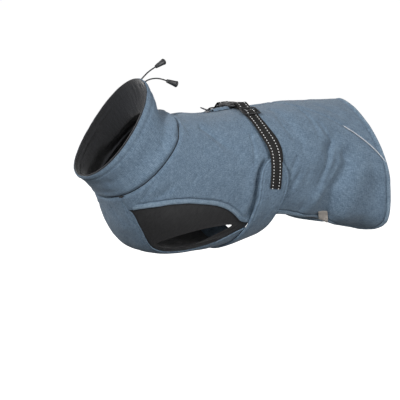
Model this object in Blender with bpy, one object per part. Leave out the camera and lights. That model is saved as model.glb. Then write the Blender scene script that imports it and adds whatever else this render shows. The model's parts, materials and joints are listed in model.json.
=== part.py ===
"""Dog winter coat, hollow and open as it is worn.

The coat's cloth follows one general figure: rings from the collar's top (station 0) to the tail (station 9).
A place on the coat is a station and an angle, in degrees from the top of the back, positive on the left.
The head is at -X, the left side at -Y, up is +Z. The origin is on the ridge of the back, behind the belt.
Lengths in the tables are millimetres.
"""
import math

import bmesh
import bpy
import numpy as np
from mathutils import Vector

MM = 0.001

# Cloth, millimetres
SOFTSHELL = 2.0
LINING = 1.5
STRETCH = 1.2
SEAM = 0.3            # clear gap between two pieces
EDGING = 0.8
EDGE_WIDTH = 4.5      # edging, piping and the row of cloth that they lie on
NAPE_BEND = 18.0      # how far the collar's back bends in above its seam

# Belt, millimetres
WEBBING_WIDTH = 25.0
WEBBING = 1.5
BUCKLE_WIDTH = 33.0
BELT_CENTRE_ARC = -8.0     # the buckle's middle, from the ridge, along the belt line

# Drawcord, millimetres
CORD = 2.5
CORD_END_LENGTH = 21.0
EYELET_STATION = 0.09


class Table:
    """Rows under named columns, read by the first column."""

    def __init__(self, columns, *rows):
        self.columns = columns.split()
        self.rows = np.array(rows, float)

    def smooth(self, name, at):
        """A curve through the rows: cubic, with each row's slope taken from its two neighbours."""
        x, y = self.rows[:, 0], self.rows[:, self.columns.index(name)]
        last = len(x) - 1
        at = np.clip(np.asarray(at, float), x[0], x[-1])
        slope = np.array([(y[min(k + 1, last)] - y[max(k - 1, 0)]) / (x[min(k + 1, last)] - x[max(k - 1, 0)])
                          for k in range(len(x))])
        k = np.clip(np.searchsorted(x, at, side="right") - 1, 0, last - 1)
        step = x[k + 1] - x[k]
        t = (at - x[k]) / step
        return ((2 * t**3 - 3 * t**2 + 1) * y[k] + (t**3 - 2 * t**2 + t) * step * slope[k]
                + (3 * t**2 - 2 * t**3) * y[k + 1] + (t**3 - t**2) * step * slope[k + 1])


# ---------------------------------------------------------------- the figure under the cloth
# widest: how far down the ring its greatest width lies. round_up, round_low: 2 is an ellipse, more is boxier.
# bow: how far the ring's sides lie behind its plane.
RINGS = Table(
    "station back_x back_z belly_x belly_z half_width widest round_up round_low bow",
    (0, -268, 61, -387, -99, 66, .52, 2.1, 2.2, 4),       # collar's top edge
    (1, -213, 0, -343, -138, 85, .50, 2.1, 2.4, 12),      # collar's seam
    (2, -173, -4, -316, -197, 94, .52, 2.2, 2.3, 8),
    (3, -131, -7, -280, -233, 99, .52, 2.3, 2.4, 3),      # front legs
    (4, -89, -4, -220, -247, 101, .50, 2.3, 2.5, 0),
    (5, -51, -1, -125, -245, 102, .50, 2.3, 2.4, 0),      # belt
    (6, 0, 0, -30, -227, 102, .50, 2.3, 2.3, 0),
    (7, 62, 4, 55, -220, 102, .50, 2.2, 2.6, 1),
    (8, 130, 3, 136, -232, 104, .55, 1.9, 3.4, 6),
    (9, 199, 1, 224, -248, 110, .60, 1.65, 4.4, 13),      # tail edge
)

# The largest folds, each a soft ridge or trough between two places. side: 1 left, -1 right.
FOLDS = Table(
    "side station_a angle_a station_b angle_b height half_width",
    (1, 7.90, 76, 7.25, 106, -7.0, 15),       # deep fold over the thigh
    (1, 7.25, 106, 7.40, 136, -6.0, 16),
    (1, 8.15, 88, 7.85, 130, 6.0, 22),
    (1, 7.35, 72, 6.75, 108, -4.0, 12),
    (1, 7.60, 60, 7.30, 74, -4.0, 10),
    (1, 7.02, 84, 6.90, 130, 4.5, 20),
    (1, 8.60, 96, 8.45, 145, -3.5, 18),
    (1, 5.95, 22, 6.30, 60, -3.0, 9),
    (1, 2.10, 38, 4.10, 66, -2.5, 10),
    (1, 1.45, 128, 1.70, 106, -2.0, 9),
    (-1, 8.05, 80, 7.45, 112, -6.0, 15),
    (-1, 7.45, 112, 7.35, 140, -5.5, 16),
    (-1, 8.40, 92, 8.10, 138, 5.5, 22),
    (-1, 7.20, 66, 6.60, 104, -4.0, 12),
    (-1, 7.00, 92, 6.80, 132, 4.0, 20),
    (-1, 6.00, 26, 6.40, 58, -3.0, 9),
    (-1, 2.30, 42, 4.20, 60, -2.5, 10),
)
STATION_LENGTH = 56.0      # mean distance between two rings
DEGREE_LENGTH = 1.85       # mean length of one degree round a ring


def figure(station, angle):
    """Points of the figure's skin, before folds."""
    station, angle = np.broadcast_arrays(np.asarray(station, float), np.asarray(angle, float))
    ring = {name: RINGS.smooth(name, station) for name in RINGS.columns[1:]}
    turn = np.radians(angle)
    up, side = np.cos(turn), np.sin(turn)
    power = np.where(up > 0, ring["round_up"], ring["round_low"])
    reach = (np.abs(up)**power + np.abs(side)**power)**(-1 / power)
    share = np.where(up > 0, ring["widest"], 1 - ring["widest"]) * up * reach
    middle_x = ring["back_x"] + ring["widest"] * (ring["belly_x"] - ring["back_x"])
    middle_z = ring["back_z"] + ring["widest"] * (ring["belly_z"] - ring["back_z"])
    return np.stack([middle_x + share * (ring["back_x"] - ring["belly_x"]) + ring["bow"] * side**2,
                     -side * reach * ring["half_width"],
                     middle_z + share * (ring["back_z"] - ring["belly_z"])], -1)


def unit(vectors):
    return vectors / np.linalg.norm(vectors, axis=-1, keepdims=True)


def outward(station, angle):
    """Unit normals of the figure."""
    station, angle = np.broadcast_arrays(np.asarray(station, float), np.asarray(angle, float))
    ahead = np.clip(station + 0.02, 0, 9)
    behind = np.clip(station - 0.02, 0, 9)
    along = figure(ahead, angle) - figure(behind, angle)
    around = figure(station, angle + 0.5) - figure(station, angle - 0.5)
    return unit(np.cross(around, along))


def fold_height(station, angle):
    total = np.zeros(np.shape(station))
    place = np.stack([station * STATION_LENGTH, np.abs(angle) * DEGREE_LENGTH], -1)
    for side, station_a, angle_a, station_b, angle_b, height, half_width in FOLDS.rows:
        start = np.array([station_a * STATION_LENGTH, angle_a * DEGREE_LENGTH])
        run = np.array([station_b * STATION_LENGTH, angle_b * DEGREE_LENGTH]) - start
        along = np.clip(((place - start) @ run) / (run @ run), 0, 1)
        away = np.linalg.norm(place - start - along[..., None] * run, axis=-1)
        total = total + np.where(np.sign(angle) == side, height * np.exp(-(away / half_width)**2), 0)
    return total


def cloth(station, angle, height=0.0):
    """Points on the coat's face, moved out by height."""
    station, angle = np.broadcast_arrays(np.asarray(station, float), np.asarray(angle, float))
    rise = np.asarray(height) + fold_height(station, angle)
    return figure(station, angle) + rise[..., None] * outward(station, angle)


# ---------------------------------------------------------------- materials and solids

def material(name, color, roughness, metallic=0.0):
    made = bpy.data.materials.new(name)
    made.use_nodes = True
    shader = made.node_tree.nodes["Principled BSDF"]
    shader.inputs["Base Color"].default_value = (*color, 1)
    shader.inputs["Roughness"].default_value = roughness
    shader.inputs["Metallic"].default_value = metallic
    return made


def solid(name, finish, points, faces, smooth=False):
    """One closed body from points in millimetres; its faces are turned outwards."""
    mesh = bpy.data.meshes.new(name)
    mesh.from_pydata([tuple(point * MM) for point in points], [], faces)
    body = bmesh.new()
    body.from_mesh(mesh)
    bmesh.ops.recalc_face_normals(body, faces=body.faces)
    body.to_mesh(mesh)
    body.free()
    if smooth:
        mesh.shade_smooth()
        mesh.set_sharp_from_angle(angle=math.radians(40))
    mesh.materials.append(finish)
    made = bpy.data.objects.new(name, mesh)
    bpy.context.collection.objects.link(made)
    return made


def wall(name, finish, outer, inner, keep=None, closed=False):
    """A wall between two grids of points. keep marks the grid's cells that exist; closed joins the last
    column to the first."""
    rows, columns = outer.shape[:2]
    across = columns if closed else columns - 1
    keep = np.ones((rows - 1, across), bool) if keep is None else keep
    number = {}
    points = []

    def corner(layer, row, column):
        key = (layer, row, column % columns)
        if key not in number:
            number[key] = len(points)
            points.append((outer, inner)[layer][row, key[2]])
        return number[key]

    def kept(row, column):
        if closed:
            column %= across
        return 0 <= row < rows - 1 and 0 <= column < across and keep[row, column]

    faces = []
    for row in range(rows - 1):
        for column in range(across):
            if not kept(row, column):
                continue
            ring = ((row, column), (row, column + 1), (row + 1, column + 1), (row + 1, column))
            # both faces are cut on the same diagonal, so pieces laid on each other stay parallel
            for layer, order in ((0, (0, 1, 2)), (0, (0, 2, 3)), (1, (2, 1, 0)), (1, (3, 2, 0))):
                faces.append([corner(layer, *ring[k]) for k in order])
            beside = ((row - 1, column), (row, column + 1), (row + 1, column), (row, column - 1))
            for k, neighbour in enumerate(beside):
                if not kept(*neighbour):
                    a, b = ring[k], ring[(k + 1) % 4]
                    faces.append([corner(0, *b), corner(0, *a), corner(1, *a), corner(1, *b)])
    return solid(name, finish, np.array(points), faces, smooth=True)


def tube(name, finish, rings, closed=False):
    """A body swept through rings of points: closed joins the last ring to the first, otherwise the ends
    are capped."""
    count, sides = rings.shape[:2]
    faces = []
    for k in range(count if closed else count - 1):
        for j in range(sides):
            near, far = k * sides, (k + 1) % count * sides
            faces.append([near + j, near + (j + 1) % sides, far + (j + 1) % sides, far + j])
    if not closed:
        faces.append(list(range(sides)))
        faces.append(list(reversed(range((count - 1) * sides, count * sides))))
    return solid(name, finish, rings.reshape(-1, 3), faces, smooth=True)


# ---------------------------------------------------------------- the cut: edges of the panels
# Side panel: its upper edge (centre back, zip gap, then the yoke's seam) and its lower edge (chest seam,
# arch over the leg, hidden edge under the strap, hem), and the tail edge's station at each angle.
SIDE = Table(
    "station top foot",
    (1.00, 0, 152.0), (1.10, 0, 153.2), (1.20, 0, 153.8), (1.32, 0, 153.2), (1.43, 0, 151.5),
    (1.50, 0, 141.5), (1.58, 0, 135.0), (1.68, 0, 129.0), (1.80, 0, 123.5), (1.98, 0, 117.0),
    (2.20, 0, 111.5), (2.50, 0, 106.5), (2.70, 0, 104.0), (2.90, 0, 102.6), (3.00, 2.0, 102.2),
    (3.25, 2.0, 101.8), (3.53, 2.0, 102.2), (3.90, 2.0, 104.0), (4.15, 2.0, 106.0), (4.33, 2.0, 108.0),
    (4.50, 2.0, 111.0), (4.65, 2.0, 114.2), (4.80, 2.0, 118.2), (4.90, 2.0, 121.0), (5.10, 2.0, 124.0),
    (5.22, 0, 125.0), (5.50, 0, 126.0), (5.75, 0, 127.0), (5.95, 0, 128.0), (6.20, 0, 131.2),
    (6.42, 0, 134.6), (6.62, 0, 137.2), (6.635, 2.5, 137.4), (6.68, 8.5, 138.0), (6.76, 15.0, 138.9),
    (6.89, 21.5, 140.3), (7.05, 27.0, 141.6), (7.21, 31.2, 142.8), (7.37, 34.5, 143.7),
    (7.55, 37.6, 144.8), (7.75, 41.0, 146.2), (7.97, 45.6, 148.6), (8.15, 50.0, 151.2),
    (8.34, 54.2, 153.8), (8.53, 59.4, 155.4), (8.68, 64.0, 155.6), (8.80, 68.4, 153.8),
    (8.88, 71.8, 149.6), (8.94, 74.8, 142.6), (8.99, 77.3, 131.0),
)
ZIP_FRONT, ZIP_END = 2.95, 5.16      # stations of the gap in the centre back seam
YOKE_FRONT = 6.635
HEM_FRONT = 5.95
REFLECTIVE_FRONT = 8.15
ARCH_FRONT, ARCH_END = 1.50, 4.90
SEAM_ANGLE = 0.12                    # half of a seam's gap, in degrees

# Chest panel: its edge on the left side; the right side mirrors it.
CHEST = Table(
    "station edge",
    (1.00, 152.0), (1.10, 153.2), (1.20, 153.8), (1.32, 153.2), (1.43, 151.5), (1.55, 148.5), (1.75, 147.2),
    (1.95, 147.2), (2.15, 147.7), (2.35, 148.7), (2.60, 150.5), (2.85, 152.5), (3.10, 154.5), (3.40, 156.0),
    (3.70, 155.6), (4.00, 153.5), (4.20, 150.8), (4.40, 147.2), (4.60, 142.8), (4.80, 137.5), (4.95, 133.2),
    (5.10, 131.0), (5.28, 131.0),
)

# Belly strap: its front and rear stations at each angle from the top of its rounded end to the belly.
STRAP = Table(
    "angle front rear",
    (72.5, 5.24, 5.46), (74.5, 5.15, 5.58), (77, 5.09, 5.67), (80.5, 5.05, 5.77), (85, 5.04, 5.87),
    (90, 5.06, 5.94), (96, 5.09, 5.97), (104, 5.12, 5.97), (112, 5.11, 5.94), (120, 5.12, 5.90),
    (128, 5.13, 5.87), (137, 5.10, 5.85), (148, 5.05, 5.84), (159, 5.02, 5.83), (170, 5.00, 5.83),
    (180, 5.00, 5.83),
)
STRAP_HEIGHT = 2.7

# Leg insert: the hole for the leg, as places round it.
LEG_HOLE = (
    (2.96, 147.0), (3.02, 139.5), (3.32, 130.2), (3.85, 124.4), (4.45, 122.3), (4.74, 124.2),
    (4.55, 129.5), (4.15, 139.5), (3.75, 147.5), (3.30, 150.5),
)
LEG_HOLE_CENTRE = (3.66, 136.0)
INSERT_LAP = 1.6                     # how far the insert reaches under its neighbours, in degrees


def side_rows(side):
    """The side panel's grid of places: a row for each station, with a narrow column along both edges."""
    stations = SIDE.rows[:, 0].copy()
    stations[0] += 0.012
    top = SIDE.rows[:, 1] + SEAM_ANGLE
    foot = SIDE.rows[:, 2] - SEAM_ANGLE
    inner = np.linspace(0, 1, 12)
    narrow = EDGE_WIDTH / DEGREE_LENGTH
    angles = []
    for upper, lower in zip(top, foot):
        middle = upper + narrow + (lower - upper - 2 * narrow) * inner
        angles.append([upper, *middle, lower])
    angles = np.array(angles)
    return np.repeat(stations[:, None], angles.shape[1], 1), side * angles


def side_panel(name, side, cloth_finish, edge_finish, light_finish, label_finish):
    stations, angles = side_rows(side)
    label = "left" if side > 0 else "right"
    wall(name, cloth_finish, cloth(stations, angles), cloth(stations, angles, -SOFTSHELL))
    rows = stations[:-1, 0]
    cells = (stations.shape[0] - 1, stations.shape[1] - 1)

    # the hem's edging: the lower narrow column behind the strap, and the last row at the tail
    keep = np.zeros(cells, bool)
    keep[rows >= HEM_FRONT - 0.01, -1] = True
    keep[-1, :] = True
    wall(f"hem_edging_{label}", edge_finish, cloth(stations, angles, SEAM + EDGING),
         cloth(stations, angles, SEAM), keep)

    # the binding on the arch over the leg
    keep = np.zeros(cells, bool)
    keep[(rows >= ARCH_FRONT - 0.01) & (rows < ARCH_END - 0.01), -1] = True
    wall(f"leg_piping_{label}", edge_finish, cloth(stations, angles, SEAM + 1.6),
         cloth(stations, angles, SEAM), keep)

    # the light piping beside the yoke's seam, up to the edging
    keep = np.zeros(cells, bool)
    keep[rows >= REFLECTIVE_FRONT - 0.01, 0] = True
    keep[-1, :] = False
    keep[-2, :] = False
    wall(f"reflective_piping_{label}", light_finish, cloth(stations, angles, SEAM + 1.2),
         cloth(stations, angles, SEAM), keep)

    # the tab on the hem
    if side > 0:
        keep = np.zeros(cells, bool)
        keep[(rows > 7.2) & (rows < 7.5), -2:] = True
        wall("label_tab", label_finish, cloth(stations, angles, 2 * SEAM + EDGING + 0.7),
             cloth(stations, angles, 2 * SEAM + EDGING), keep)


def back_yoke(finish, edge_finish):
    chosen = SIDE.rows[:, 0] >= YOKE_FRONT - 0.001
    stations = SIDE.rows[chosen, 0]
    edge = SIDE.rows[chosen, 1] - SEAM_ANGLE
    across = np.linspace(-1, 1, 15)
    angles = edge[:, None] * across[None, :]
    stations = np.repeat(stations[:, None], len(across), 1)
    wall("back_yoke", finish, cloth(stations, angles), cloth(stations, angles, -SOFTSHELL))
    keep = np.zeros((stations.shape[0] - 1, stations.shape[1] - 1), bool)
    keep[-1, :] = True
    wall("hem_edging_tail", edge_finish, cloth(stations, angles, SEAM + EDGING),
         cloth(stations, angles, SEAM), keep)


def chest_panel(finish):
    stations = CHEST.rows[:, 0].copy()
    stations[0] += 0.012
    edge = CHEST.rows[:, 1] + SEAM_ANGLE
    across = np.linspace(0, 1, 9)
    angles = edge[:, None] + (360 - 2 * edge)[:, None] * across[None, :]
    stations = np.repeat(stations[:, None], len(across), 1)
    wall("chest_panel", finish, cloth(stations, angles), cloth(stations, angles, -SOFTSHELL))


def belly_strap(finish):
    left = STRAP.rows
    right = left[-2::-1].copy()
    right[:, 0] = 360 - right[:, 0]
    rows = np.vstack([left, right])
    across = np.linspace(0, 1, 9)
    angles = np.repeat(rows[:, :1], len(across), 1)
    stations = rows[:, 1:2] + (rows[:, 2:3] - rows[:, 1:2]) * across[None, :]
    wall("belly_strap", finish, cloth(stations, angles, STRAP_HEIGHT + SOFTSHELL),
         cloth(stations, angles, STRAP_HEIGHT))


def nape_bend(station, angle):
    """Height of the collar's back, which bends in above its seam."""
    from_top = np.minimum(angle, 360 - angle)
    reach = np.where(station < 0.6, 0.28, 0.2)
    return -NAPE_BEND * np.exp(-((station - 0.6) / reach)**2 - (from_top / 70)**2)


def collar(finish, lining_finish):
    stations = np.array([0.0, 0.06, 0.16, 0.3, 0.45, 0.6, 0.75, 0.88, 0.985])
    angles = np.linspace(0, 360, 40, endpoint=False)
    grid = np.meshgrid(stations, angles, indexing="ij")
    bend = nape_bend(*grid)
    wall("collar", finish, cloth(*grid, bend), cloth(*grid, bend - SOFTSHELL), closed=True)
    # the lining stands a little above the collar's edge, so its first row is lifted along the neck
    outer = cloth(*grid, bend - SOFTSHELL - SEAM)
    inner = cloth(*grid, bend - SOFTSHELL - SEAM - LINING)
    along = unit(outer[0] - outer[1])
    outer[0] += 1.8 * along
    inner[0] += 1.8 * along
    wall("collar_lining", lining_finish, outer, inner, closed=True)


def loop_curve(places, count):
    """A closed smooth curve through places, read at even steps."""
    places = np.array(places, float)
    total = len(places)
    steps = np.arange(count) * total / count
    k = steps.astype(int)
    t = (steps - k)[:, None]
    before, here, after, beyond = (places[(k + shift) % total] for shift in (-1, 0, 1, 2))
    return 0.5 * (2 * here + (after - before) * t + (2 * before - 5 * here + 4 * after - beyond) * t**2
                  + (3 * here - before - 3 * after + beyond) * t**3)


def leg_insert(side, finish):
    """Stretch cloth sewn under the arch and the chest panel, with a hole for the leg: rays from the hole's
    middle, from the hole's edge to the outer edge."""
    arch = [(row[0], row[2] - INSERT_LAP) for row in SIDE.rows if ARCH_FRONT <= row[0] <= ARCH_END]
    chest = [(row[0], row[1] + INSERT_LAP) for row in CHEST.rows if 1.54 < row[0] <= 5.1]
    outline = np.array([(1.42, 148.0), *arch, (5.2, 122.5), (5.2, 132.5), *reversed(chest)])
    hole = loop_curve(LEG_HOLE, 120)
    scale = np.array([STATION_LENGTH, DEGREE_LENGTH])
    centre = np.array(LEG_HOLE_CENTRE) * scale

    def crossing(outline, turn):
        """Where a ray from the centre leaves an outline."""
        ray = np.array([math.cos(turn), math.sin(turn)])
        best = 0.0
        for a, b in zip(outline * scale - centre, np.roll(outline, -1, 0) * scale - centre):
            cross = ray[0] * (b - a)[1] - ray[1] * (b - a)[0]
            if abs(cross) < 1e-9:
                continue
            length = (a[0] * (b - a)[1] - a[1] * (b - a)[0]) / cross
            share = (a[0] * ray[1] - a[1] * ray[0]) / cross
            if length > best and 0 <= share <= 1:
                best = length
        return best

    # rays go to the outline's own corners, and evenly between them where they are far apart
    turns = []
    corners = sorted(math.atan2(*((place * scale - centre)[::-1])) for place in outline)
    for start, end in zip(corners, corners[1:] + [corners[0] + 2 * math.pi]):
        parts = max(1, round((end - start) / 0.16))
        turns += [start + (end - start) * k / parts for k in range(parts)]
    turns = [turn for k, turn in enumerate(turns) if k == 0 or turn - turns[k - 1] > 0.02]
    places = []
    for share in (0, 0.35, 0.7, 1):
        ring = []
        for turn in turns:
            near, far = crossing(hole, turn), crossing(outline, turn)
            length = near + (far - near) * share
            ring.append((centre + length * np.array([math.cos(turn), math.sin(turn)])) / scale)
        places.append(ring)
    places = np.array(places)
    label = "left" if side > 0 else "right"
    stations, angles = places[..., 0], side * places[..., 1]
    face = -SOFTSHELL - 3 * SEAM
    wall(f"leg_insert_{label}", finish, cloth(stations, angles, face), cloth(stations, angles, face - STRETCH),
         closed=True)


# ---------------------------------------------------------------- the belt
# The belt's line on the figure, by angle; and heights above the cloth of the webbing's two layers.
BELT_LINE = Table(
    "angle station",
    (-110, 5.56), (-96, 5.56), (-80, 5.50), (-64, 5.28), (-48, 4.98), (-33, 4.80), (-18, 4.79), (0, 4.82),
    (18, 4.84), (33, 4.88), (47, 5.06), (60, 5.31), (71, 5.45), (96, 5.56), (110, 5.56),
)


class BeltLine:
    """The belt's middle line, read by arc length from the ridge, positive to the left."""

    def __init__(self):
        angle = np.linspace(-110, 110, 441)
        line = figure(BELT_LINE.smooth("station", angle), angle)
        steps = np.linalg.norm(np.diff(line, axis=0), axis=1)
        arc = np.concatenate([[0], np.cumsum(steps)])
        self.arc = arc - np.interp(0, angle, arc)
        self.angle = angle

    def frame(self, arc):
        """Point, along (to the left), across (to the tail) and up, at an arc length."""
        angle = np.interp(arc, self.arc, self.angle)
        station = BELT_LINE.smooth("station", angle)
        up = outward(station, angle)
        ahead = np.interp(np.asarray(arc) + 1.5, self.arc, self.angle)
        behind = np.interp(np.asarray(arc) - 1.5, self.arc, self.angle)
        along = (figure(BELT_LINE.smooth("station", ahead), ahead)
                 - figure(BELT_LINE.smooth("station", behind), behind))
        along = unit(along - np.sum(along * up, -1, keepdims=True) * up)
        return figure(station, angle), along, np.cross(along, up), up

    def flat(self, point):
        """Arc length and height of a point near the belt."""
        arcs = np.linspace(-120, 120, 961)
        place, _, across, up = self.frame(arcs)
        apart = point - place
        apart = apart - np.sum(apart * across, -1, keepdims=True) * across
        best = int(np.argmin(np.linalg.norm(apart, axis=-1)))
        return arcs[best], float(apart[best] @ up[best])


def webbing(name, finish, line, places):
    """A strip of webbing along places of arc length, height and shift to the tail."""
    route = np.array(places, float)
    arc, height, shift = route.T
    place, _, across, up = line.frame(arc)
    middle = place + height[:, None] * up + shift[:, None] * across
    run = unit(np.gradient(middle, axis=0))
    across = unit(across - np.sum(across * run, -1, keepdims=True) * run)
    face = np.cross(run, across)
    rings = np.stack([middle + across * WEBBING_WIDTH / 2 * i + face * WEBBING / 2 * j
                      for i, j in ((-1, -1), (1, -1), (1, 1), (-1, 1))], 1)
    return tube(name, finish, rings)


def smooth_route(route, spacing):
    """Points at about even spacing on a smooth curve through a route's points."""
    route = np.array(route, float)
    ends = np.vstack([2 * route[0] - route[1], route, 2 * route[-1] - route[-2]])
    points = []
    for k in range(1, len(ends) - 2):
        before, here, after, beyond = ends[k - 1:k + 3]
        parts = max(1, round(float(np.linalg.norm(after - here)) / spacing))
        for step in range(parts):
            t = step / parts
            points.append(0.5 * (2 * here + (after - before) * t
                                 + (2 * before - 5 * here + 4 * after - beyond) * t**2
                                 + (3 * here - before - 3 * after + beyond) * t**3))
    points.append(route[-1])
    return np.array(points)


class Place:
    """A flat frame for hardware: x along the belt to the left, y across it to the tail, z up."""

    def __init__(self, origin, along, across, up):
        self.origin, self.along, self.across, self.up = origin, along, across, up

    def point(self, x, y, z):
        return self.origin + x * self.along + y * self.across + z * self.up


def plate(name, finish, place, xs, ys, holes, low, high):
    """Flat hardware over cells of xs and ys, less the cells named in holes, between two heights."""
    keep = np.ones((len(xs) - 1, len(ys) - 1), bool)
    for cell in holes:
        keep[cell] = False
    outer = np.array([[place.point(x, y, high(x, y)) for y in ys] for x in xs])
    inner = np.array([[place.point(x, y, low(x, y)) for y in ys] for x in xs])
    return wall(name, finish, outer, inner, keep)


TRI_GLIDE_HALF = 12.0
TRI_GLIDE_ARCS = {"left": 44.0, "right": -57.0}
LOWER_LAYER = 1.15        # height of the webbing's lower layer above the cloth, at its middle
UPPER_LAYER = 3.45        # and of the layer that comes back over it
OVER_STRAP = 6.0          # and where that layer passes the belly strap's end, or a tri-glide's bar
BAR_HEIGHT = 6.2          # the buckle's webbing bars, above the buckle's flat frame
BAR_REACH = 24.5          # and from its middle
BAR_TURN = 3.4            # radius of the webbing's turn round a bar


def tri_glide(name, finish, line, arc):
    """A slider: two end bars above the webbing, and a lower middle bar that it climbs over."""
    half = WEBBING_WIDTH / 2 + 1.5
    rail = half + 3.2
    xs = [-TRI_GLIDE_HALF, -TRI_GLIDE_HALF + 3, -2, 2, TRI_GLIDE_HALF - 3, TRI_GLIDE_HALF]
    ys = [-rail, -half, half, rail]
    place = Place(*line.frame(arc))

    def high(x, y):
        return 7.3 if abs(x) > 5 or abs(y) > half else 4.7

    def low(x, y):
        return 5.0 if abs(x) > 5 else 2.9

    return plate(name, finish, place, xs, ys, [(1, 1), (3, 1)], low, high)


def belt(webbing_finish, plastic):
    line = BeltLine()
    buckle = Place(*line.frame(BELT_CENTRE_ARC))
    half = BUCKLE_WIDTH / 2
    arms = half - 4.0
    slot = WEBBING_WIDTH / 2 + 1.2

    # the female half: a body with an open notch on each side, then a webbing slot
    xs = [-25.8, -23.3, -17.8, -14, -9, 4]
    ys = [-half, -slot, -arms + 0.4, arms - 0.4, slot, half]
    plate("buckle_female", plastic, buckle, xs, ys,
          [(1, 1), (1, 2), (1, 3), (4, 0), (4, 1), (4, 3), (4, 4)],
          lambda x, y: 2.6 if x > -19 else 5.0,
          lambda x, y: 10.0 - 0.007 * y * y if x > -19 else 7.8)

    # the male half: a webbing slot, a base, and two arms that reach into the notches
    xs = [-8.6, -4, 4.4, 13, 17.8, 23.3, 25.8]
    ys = [-half, -slot, -arms, arms, slot, half]
    plate("buckle_male", plastic, buckle, xs, ys,
          [(0, 2), (1, 2), (4, 1), (4, 2), (4, 3)],
          lambda x, y: 4.0 if x < 0 else (2.6 if x < 15 else 5.0),
          lambda x, y: 8.6 if x < 0 else (9.4 if x < 15 else 7.6))

    for side, label in ((1, "left"), (-1, "right")):
        glide_arc = TRI_GLIDE_ARCS[label]
        tri_glide(f"tri_glide_{label}", plastic, line, glide_arc)
        bar_arc, bar_height = line.flat(buckle.point(side * BAR_REACH, 0, BAR_HEIGHT))
        at_50, at_61, at_69, strap_end, tail = np.interp(side * np.array([50, 61, 69, 81, 99]),
                                                         line.angle, line.arc)
        turn = [(bar_arc - side * BAR_TURN * math.cos(t), bar_height - BAR_TURN * math.sin(t), 0)
                for t in np.linspace(math.pi / 2 + 0.4, -math.pi / 2 - 0.6, 8)]
        lower = [(strap_end, LOWER_LAYER, -2.5), (at_61, LOWER_LAYER, -2.5),
                 (glide_arc + side * 14, LOWER_LAYER, 0), (glide_arc, LOWER_LAYER, 0),
                 (glide_arc - side * 5, LOWER_LAYER + 0.1, 0)]
        upper = [(glide_arc - side * TRI_GLIDE_HALF, UPPER_LAYER, 0), (glide_arc - side * 9, UPPER_LAYER, 0),
                 (glide_arc - side * 3.2, OVER_STRAP + 0.2, 0), (glide_arc + side * 3.2, OVER_STRAP + 0.2, 0),
                 (glide_arc + side * 9, UPPER_LAYER, 0), (glide_arc + side * 13, UPPER_LAYER - 0.15, 0),
                 (at_50, 3.8, 0.5), (at_61, 5.4, 1.0), (at_69, OVER_STRAP, 1.0), (strap_end, OVER_STRAP, 1.0),
                 (tail, OVER_STRAP, 1.0)]
        webbing(f"belt_webbing_{label}", webbing_finish, line, smooth_route(lower + turn + upper, 5.0))


# ---------------------------------------------------------------- the zip on the back
SLIDER_STATION = 3.28
FLAP_FRONT, FLAP_END = 3.50, 4.36
PULL_TILT = math.radians(24)
PULL_LENGTH = 17.0
PULL_WIDTH = 8.5
PULL_WIRE = 1.4


def ridge_place(station):
    point = cloth(station, 0.0)
    ahead = unit(cloth(station + 0.05, 0.0) - cloth(station - 0.05, 0.0))
    up = outward(station, 0.0)
    return Place(point, ahead, np.cross(up, ahead), up)


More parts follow.
